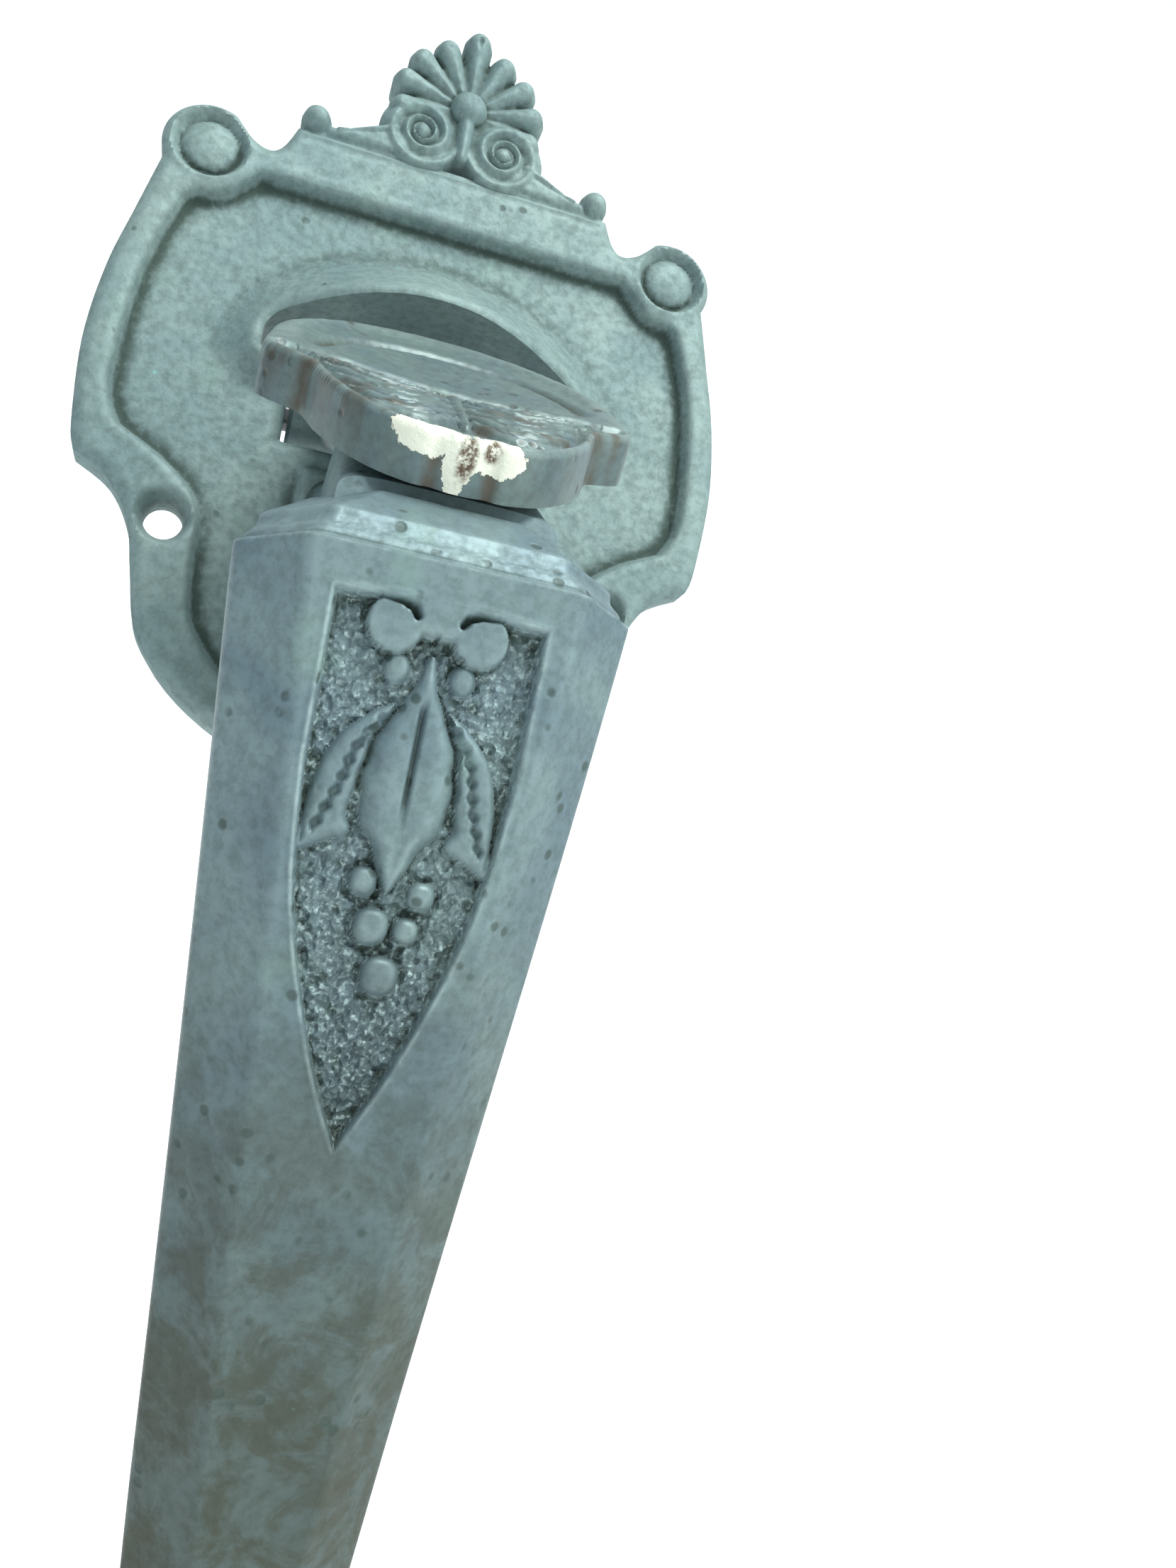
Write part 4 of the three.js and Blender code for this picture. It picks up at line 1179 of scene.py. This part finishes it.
            # Lighter facet edges, strongest round the front face: painted highlight with wear,
            # carried by the ridge mark.
            near = np.minimum(w, 1 - w) * length
            edge_marks.append(bump(near, 1.2) * (1.0 if k in (0, 1, 7) else 0.6))
        rings = np.concatenate(pieces, axis=1)
        on_front = np.concatenate(fronts)
        worn = np.tile(np.concatenate(edge_marks), (len(rings), 1))
        fx, fz = rings[:, on_front, 0], rings[:, on_front, 2]
        relief, stipple, inside = self.panel_relief(fx, fz)
        body_rows = (front[:, 1] <= -17.0)[:, None]
        relief, stipple = relief * body_rows, stipple * body_rows
        # Painted shade in the panel's recesses; painted highlight with wear on its carving and
        # along its rim edge.
        soft = relief - blurred(relief, 5.0)
        hollow = np.zeros(rings.shape[:2])
        hollow[:, on_front] = 0.85 * np.clip(-soft / 0.9, 0, 1) ** 1.3
        ridge = worn * 0.22
        ridge[:, on_front] += 0.35 * np.clip(soft / 0.5, 0, 1)
        ridge[:, on_front] += 0.35 * bump(inside - 0.2, 0.25) * body_rows
        rings[:, on_front, 1] -= relief
        cove = bump(front[:, 1] + 15.4, 1.1)[:, None]
        grain = np.zeros(rings.shape[:2])
        grain[:, on_front] = stipple
        grain = np.maximum(grain, 0.2 * cove)
        rings[..., 1] += 0.05 * cove * value_noise(rings[..., 0], rings[..., 2], 0.4, 31)
        # Painted highlights along the cap's edges and a painted shade line just above its foot.
        ridge += 0.3 * bump(front[:, 1] + 13.5, 0.35)[:, None]
        ridge += 0.7 * bump(front[:, 1] + 17.1, 0.3)[:, None]
        hollow += 0.5 * bump(front[:, 1] + 16.5, 0.3)[:, None]
        rings[..., 1] = np.minimum(rings[..., 1], self.foot_back)
        return skinned(rings, {"hollow": np.clip(hollow, 0, 1), "ridge": np.clip(ridge, 0, 1),
                               "stipple": grain})

    def neck(self) -> Draft:
        """The neck from the plate's seat to the grip: rounded upright sections along Y.

        Each section is a rounded square between a top line, which runs level and then slopes
        down under the lever, and an underside that drops in a fillet to the grip's back.
        """
        y = np.r_[np.linspace(-5.3, -6.4, 6), np.linspace(-7.0, -49.3, 60)]
        top = np.interp(-y, [5.3, 24.0, 27.5, 49.5], [9.0, 9.0, 7.9, -8.2])
        low = np.interp(-y, [5.3, 16.0, 22.0, 26.0, 29.0, 32.0, 40.0, 49.5],
                        [-13.0, -13.4, -14.4, -16.2, -18.8, -20.0, -18.0, -14.5])
        top, low = np.minimum(averaged(top, 7), top + 0.2), averaged(low, 7)
        flare = 1.6 * np.exp(-(-y - 5.3) / 1.6)
        wide = 10.4 + flare
        across, up = squircle(96, 5.5)
        mid, half = (top + low) / 2, (top - low) / 2 + 0.5 * flare
        rings = np.stack([
            wide[:, None] * across,
            np.repeat(y[:, None], 96, axis=1),
            mid[:, None] + half[:, None] * up,
        ], axis=-1)
        # Painted shade where the neck meets the plate.
        hollow = np.repeat(bump(-y - 5.3, 2.5)[:, None] * 0.7, 96, axis=1)
        return skinned(rings, {"hollow": hollow})

    def make(self, finishes: Finishes) -> None:
        """Builds the grip's pieces and dresses them."""
        for name, draft in (("grip_casting", self.casting()), ("grip_neck", self.neck())):
            dressed(build(draft, name, 50.0), Body.HANDLE, Slot.GRIP, finishes.grip, "grip")


# ---- Thumb lever ---------------------------------------------------------------------
@dataclass
class ThumbLever:
    """The thumb lever: pad with ears, neck through the slot, hub and tail."""

    pad_y: float = PAD_REAR_Y
    pad_z: float = PAD_REAR_Z
    slope: float = PAD_SLOPE
    thickness: float = 5.5
    disc_radius: float = 19.0
    pivot: tuple[float, float] = (3.5, 20.0)
    tilt: float = math.radians(10.0)
    outline: Array = field(init=False)

    def __post_init__(self) -> None:
        """Works out the pad's plan once."""
        self.outline = self.plan()

    def plan(self) -> Array:
        """Plan of the pad: a disc behind, short ears and a deep bowed front with a small keel."""
        r = self.disc_radius
        return mirrored([
            arc((0, r), r, -math.pi / 2, 0.0, 44),
            spline([(19.0, 19.0), (19.3, 22.0), (19.35, 25.2), (18.6, 26.9), (16.8, 28.3),
                    (15.2, 29.4), (14.5, 30.6), (13.95, 32.6), (13.0, 36.0), (10.9, 40.3),
                    (8.0, 44.0), (5.3, 45.8), (3.7, 46.3), (2.7, 46.0), (1.7, 46.3),
                    (0.8, 46.55), (0.0, 46.55)], 6),
        ])

    def edge(self, x: Array, v: Array) -> Array:
        """Distance to the pad's edge."""
        return polygon_distance(x, v, self.outline)

    def height(self, x: Array, v: Array, depth: Array) -> Array:
        """Thickness of the pad: rear rim and groove, smooth middle, leaves near the front."""
        a = np.abs(x)
        rear = step_up(-v, -24.0, -17.0)
        ring = np.hypot(x, (v - 24.0) * 1.02)
        h = self.thickness - 0.75 * bump(ring, 17.0) * (ring < 17.0)
        h = h + rear * (0.5 * bump(depth - 2.2, 2.2) - 0.9 * bump(ring - 14.4, 1.5))
        carve = step_up(v, 24.0, 25.2) * step_up(depth, 0.5, 1.6)
        h = h + 0.3 * bump(v - 24.9, 1.1) * step_up(depth, 0.8, 2.4) * (a < 16.0)
        ground = h - 0.7 * carve
        leaves = ground
        for start, bend, end, wide in (
                ((0.9, 39.5), (5.0, 42.4), (9.3, 40.0), 1.5),
                ((0.9, 36.0), (5.6, 39.0), (10.9, 36.4), 1.7),
                ((0.9, 32.6), (6.2, 35.6), (12.2, 32.6), 1.8),
                ((0.9, 29.3), (6.8, 31.8), (13.4, 28.8), 1.8),
                ((1.2, 26.6), (7.4, 28.0), (14.6, 26.0), 1.2)):
            line = spline([start, bend, end], 6)
            taper = wide * np.sin(np.linspace(0.35, math.pi - 0.15, len(line)))
            parts = zip(line[:-1], line[1:], taper[:-1], taper[1:])
            blade = np.minimum.reduce([capsule(a, v, p, q, r, s) for p, q, r, s in parts])
            vein = chain(a, v, line[1:-1])
            leaf = ground + 0.85 * dome(blade, wide * 0.8) - 0.5 * bump(vein, 0.45)
            leaves = np.where(blade < 0, np.maximum(leaves, leaf), leaves)
        worn = 0.1 * value_noise(x, v, 1.3, 42) + 0.05 * value_noise(x, v, 0.7, 43)
        leaves = leaves + worn * carve
        spike = capsule(x, v, (0, 26.5), (0, 42.0), 0.9, 0.5)
        leaves = np.maximum(leaves, ground + np.where(spike < 0, 0.7 * dome(spike, 0.9), 0.0))
        h = np.where(carve > 0, leaves, h)
        h = h + 0.04 * value_noise(x, v, 0.8, 41)
        return h - fillet(depth, 1.0)

    def pad(self) -> Draft:
        """The pad, laid on its slope, with marks for stains and old paint on its front."""
        relief = Relief(0.22, (-20.0, -0.6), (20.0, 47.2), self.edge, self.height,
                        hollow_width=2.0)
        draft = relief.draft()
        x, v, h = draft.points.T
        a = np.abs(x)
        ring = bump(np.hypot(x, (v - 24.0) * 1.02) - 14.4, 1.3) * step_up(x, -2.0, 5.0)
        front = step_up(v, 44.3, 45.6)
        groove = bump(a - 2.7, 1.3) * front + bump(np.hypot(a - 14.7, v - 29.9), 2.4)
        strokes = np.clip(1.4 * value_noise(x * 0.5, v, 1.1, 47), 0, 1) * step_up(v, 24.5, 26.0)
        strokes = 0.8 * strokes * (h > 3.0) * (v < 44.0)
        brown = groove + strokes + 0.6 * ring * (v < 22.0) * (h > 3.0)
        draft.marks["stain"] = np.clip(brown, 0, 1)
        draft.points = self.laid(x, v, h)
        return draft

    def laid(self, x: Array, v: Array, h: Array) -> Array:
        """Takes pad coordinates into the frame: v down the slope and h along its normal."""
        c, s = math.cos(self.slope), math.sin(self.slope)
        up = h - self.thickness
        return np.stack([x, self.pad_y - c * v - s * up, self.pad_z - s * v + c * up], axis=1)

    def neck(self) -> Draft:
        """The neck from the hub to the pad: rounded sections along a bent path."""
        y = np.array([2.5, -1.0, -6.0, -11.0, -15.5, -19.5, -23.5])
        top = np.array([24.3, 24.0, 23.0, 22.3, 22.1, 19.4, 16.2])
        low = np.array([15.7, 15.0, 14.6, 14.7, 15.1, 15.0, 13.6])
        t = np.linspace(0, 1, len(y))
        fine = np.linspace(0, 1, 50)
        line = spline(np.stack([y, top, low], axis=1), 8)
        u = np.linspace(0, 1, len(line))
        y, top, low = (np.interp(fine, u, line[:, k]) for k in range(3))
        wide = np.interp(fine, t, [11.6, 11.6, 11.7, 11.9, 12.0, 12.0, 11.6])
        across, up = squircle(72, 5.0)
        rings = np.stack([
            wide[:, None] * across,
            np.repeat(y[:, None], 72, axis=1),
            ((top + low) / 2)[:, None] + ((top - low) / 2)[:, None] * up,
        ], axis=-1)
        return skinned(rings)

    def hub(self) -> Draft:
        """The bored hub, a turned ring round the pin."""
        end, radius, bore = 15.5, 5.0, 2.3
        profile = [(bore, -end + 0.3), (bore + 0.3, -end), (radius - 0.5, -end),
                   (radius, -end + 0.5), (radius, end - 0.5), (radius - 0.5, end),
                   (bore + 0.3, end), (bore, end - 0.3)]
        return turned(profile, "X", (0, *self.pivot), 72, closed=True)

    def tail(self) -> Draft:
        """The root behind the hub that the tongue is riveted to."""
        along = np.r_[3.0, np.linspace(4.0, 16.0, 8), 16.7, 17.0]
        size = np.r_[1.0, np.ones(8), 0.94, 0.86]
        across, up = squircle(48, 7.0)
        g = np.repeat(along[:, None], 48, axis=1)
        m = -0.3 + 2.28 * size[:, None] * up
        c, s = math.cos(self.tilt), math.sin(self.tilt)
        rings = np.stack([5.0 * size[:, None] * across,
                          self.pivot[0] + c * g - s * m, self.pivot[1] + s * g + c * m], -1)
        return skinned(rings)

    def make(self, finishes: Finishes) -> None:
        """Builds the lever's pieces and dresses them."""
        body = joined([self.neck(), self.hub(), self.tail()])
        for name, draft in (("lever_pad", self.pad()), ("lever_root", body)):
            dressed(build(draft, name), Body.LEVER, Slot.LEVER, finishes.lever, "thumb_lever")


# ---- Lower rose ----------------------------------------------------------------------
@dataclass
class LowerRose:
    """The small oval plate under the grip's foot, rimmed like the upper plate."""

    z: float = -142.0
    half_width: float = 23.0
    half_height: float = 26.0
    rim: float = 5.0
    ground: float = 3.6
    border: float = 3.6
    hole: tuple[float, float] = (16.2, 2.35)
    seat_screw: tuple[float, float] = (-145.0, 5.2)

    def oval(self, x: Array, z: Array, shrink: float) -> Array:
        """Rough signed distance to the oval, shrunk by a border."""
        rx, rz = self.half_width - shrink, self.half_height - shrink
        k = np.hypot(x / rx, (z - self.z) / rz)
        slope = np.hypot(x / rx**2, (z - self.z) / rz**2)
        return k * (k - 1.0) / np.maximum(slope, 1e-6)

    def edge(self, x: Array, z: Array) -> Array:
        """Distance to the rose's edge, with its holes taken out."""
        d = self.oval(x, z, 0.0)
        d = np.maximum(d, -disc(np.abs(x), z, (self.hole[0], self.z), self.hole[1]))
        return np.maximum(d, -disc(x, z, (0, self.seat_screw[0]), self.seat_screw[1]))

    def height(self, x: Array, z: Array, depth: Array) -> Array:
        """Height of the rose: rim, sunken ground, raised seat and countersinks."""
        inner = self.oval(x, z, self.border)
        grain = 0.06 * value_noise(x, z, 2.3, 51)
        h = self.ground + grain + (self.rim - self.ground - grain) * step_up(inner, -1.0, 0.3)
        seat = np.maximum(np.abs(x) - 11.0, np.abs(z - self.z - 4.0) - 16.4)
        h = smooth_top(h, self.ground + 1.4 * step_up(-seat, -0.8, 0.5), 0.3)
        sink = np.hypot(np.abs(x) - self.hole[0], z - self.z)
        h = h - 1.0 * step_up(-sink, -(self.hole[1] + 1.0), -self.hole[1])
        border = np.maximum(-self.oval(x, z, 0.0), 0.0)
        return h - fillet(border, 1.2)

    def make(self, finishes: Finishes) -> None:
        """Builds the rose's pieces and dresses them."""
        low = (-self.half_width - 1.0, self.z - self.half_height - 1.0)
        high = (self.half_width + 1.0, self.z + self.half_height + 1.0)
        casting = stand_up(Relief(0.42, low, high, self.edge, self.height).draft())
        cup = screw_cup(self.seat_screw[0], self.seat_screw[1], self.rim)
        for name, draft in (("rose_casting", casting), ("rose_screw_seat", cup)):
            dressed(build(draft, name), Body.HANDLE, Slot.PLATE, finishes.plate, "lower_rose")


# ---- Hardware ------------------------------------------------------------------------
@dataclass
class Hardware:
    """Screws, dowels, pin, clip, tongue and rivets, which keep their frame shapes."""

    steel: tuple[str, ...] = ("upper_dowel", "lower_dowel", "pivot_pin", "pin_clip",
                              "lift_tongue", "tongue_rivet_front", "tongue_rivet_rear")
    brass: tuple[str, ...] = ("upper_grip_screw", "lower_grip_screw")

    def make(self, finishes: Finishes) -> None:
        """Gives every hardware node its metal."""
        for names, material in ((self.steel, finishes.steel), (self.brass, finishes.brass)):
            for name in names:
                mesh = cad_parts[name].data
                mesh.materials.clear()
                mesh.materials.append(material)
                LOG.info("%s: %s", name, material.name)


# ---- Camera, light and floor ---------------------------------------------------------
@dataclass
class Studio:
    """Camera, soft lights, pale floor and backdrop."""

    eye: tuple[float, float, float] = (-15.9, -165.6, -57.5)
    look: tuple[float, float, float] = (0.263, 0.943, 0.206)
    right: tuple[float, float, float] = (0.947, -0.292, 0.130)
    lens: float = 30.92
    sky_grey: Colour = (0.32, 0.37, 0.42, 1.0)
    sky_pale: Colour = (0.82, 0.92, 0.92, 1.0)
    sky_span: tuple[float, float] = (-0.9, 1.0)
    sky_sideways: float = 0.7
    sky_strength: float = 0.8

    def camera(self) -> None:
        """Places the camera below the plate, turned to the right and rolled a little."""
        data = bpy.data.cameras.new("camera")
        data.sensor_width = 36.0
        data.lens = self.lens
        data.clip_start, data.clip_end = 0.005, 10.0
        back = -Vector(self.look).normalized()
        across = Vector(self.right)
        across = (across - across.dot(back) * back).normalized()
        up = back.cross(across)
        camera = bpy.data.objects.new("camera", data)
        camera.matrix_world = Matrix.Translation(Vector(self.eye) * MM) @ Matrix(
            (across, up, back)).transposed().to_4x4()
        bpy.context.collection.objects.link(camera)
        bpy.context.scene.camera = camera

    def lamp(self, name: str, at: tuple[float, float, float], size: float, power: float,
             tint: tuple[float, float, float]) -> None:
        """Adds a square soft light that faces the plate."""
        data = bpy.data.lights.new(name, "AREA")
        data.size, data.energy, data.color = size, power, tint
        lamp = bpy.data.objects.new(name, data)
        lamp.location = at
        aim = Vector((0.0, -0.02, 0.0)) - Vector(at)
        lamp.rotation_euler = aim.to_track_quat("-Z", "Y").to_euler()
        bpy.context.collection.objects.link(lamp)

    def sky(self) -> None:
        """Adds a sky that is pale above and to the right and greyer below and to the left."""
        world = bpy.data.worlds.new("sky")
        world.use_nodes = True
        tree = world.node_tree
        where = tree.nodes.new("ShaderNodeTexCoord").outputs["Generated"]
        split = tree.nodes.new("ShaderNodeSeparateXYZ")
        ramp = tree.nodes.new("ShaderNodeMapRange")
        ramp.interpolation_type = "SMOOTHSTEP"
        blend = tree.nodes.new("ShaderNodeMath")
        blend.operation = "MULTIPLY_ADD"
        blend.inputs[1].default_value = self.sky_sideways
        mix = tree.nodes.new("ShaderNodeMix")
        mix.data_type = "RGBA"
        mix.inputs[6].default_value = self.sky_grey
        mix.inputs[7].default_value = self.sky_pale
        ramp.inputs[1].default_value, ramp.inputs[2].default_value = self.sky_span
        tree.links.new(where, split.inputs[0])
        tree.links.new(split.outputs["X"], blend.inputs[0])
        tree.links.new(split.outputs["Z"], blend.inputs[2])
        tree.links.new(blend.outputs[0], ramp.inputs[0])
        tree.links.new(ramp.outputs[0], mix.inputs[0])
        node = tree.nodes["Background"]
        tree.links.new(mix.outputs[2], node.inputs[0])
        node.inputs[1].default_value = self.sky_strength
        bpy.context.scene.world = world

    def room(self) -> None:
        """Adds a pale floor and backdrop."""
        g = Graph("pale_wall")
        shade = g.mix(g.noise(3.0, 2.0), (0.88, 0.88, 0.88, 1.0), (0.92, 0.92, 0.92, 1.0))
        pale = g.finish(Base_Color=shade, Roughness=0.9, Emission_Color=(1.0, 1.0, 1.0, 1.0),
                        Emission_Strength=0.4)
        sheets = (("backdrop", ((-4, 1.6, -0.6), (4, 1.6, -0.6), (4, 1.6, 4), (-4, 1.6, 4))),
                  ("floor", ((-4, -4, -0.6), (4, -4, -0.6), (4, 1.6, -0.6), (-4, 1.6, -0.6))))
        for name, corners in sheets:
            mesh = bpy.data.meshes.new(name)
            mesh.from_pydata(corners, [], [(0, 1, 2, 3)])
            mesh.materials.append(pale)
            sheet = bpy.data.objects.new(name, mesh)
            bpy.context.collection.objects.link(sheet)

    def make(self) -> None:
        """Sets up the whole studio."""
        self.camera()
        self.sky()
        self.room()
        self.lamp("key", (0.25, -0.65, 0.8), 0.6, 16.5, (0.97, 1.0, 0.98))
        self.lamp("sky_left", (-0.85, -0.3, 0.1), 0.6, 0.5, (0.4, 0.62, 1.0))
        self.lamp("fill_right", (0.8, -0.5, 0.1), 0.7, 3.4, (0.96, 1.0, 0.96))
        bpy.context.scene.view_settings.view_transform = "Standard"


def main() -> None:
    """Builds the studio and every sub-assembly in order."""
    logging.basicConfig(level=logging.INFO, format="%(name)s %(message)s")
    Studio().make()
    finishes = Finishes()
    for part in (UpperPlate(), Grip(), ThumbLever(), LowerRose(), Hardware()):
        part.make(finishes)
        LOG.info("%s done", type(part).__name__)


if __name__ == "__main__":
    main()
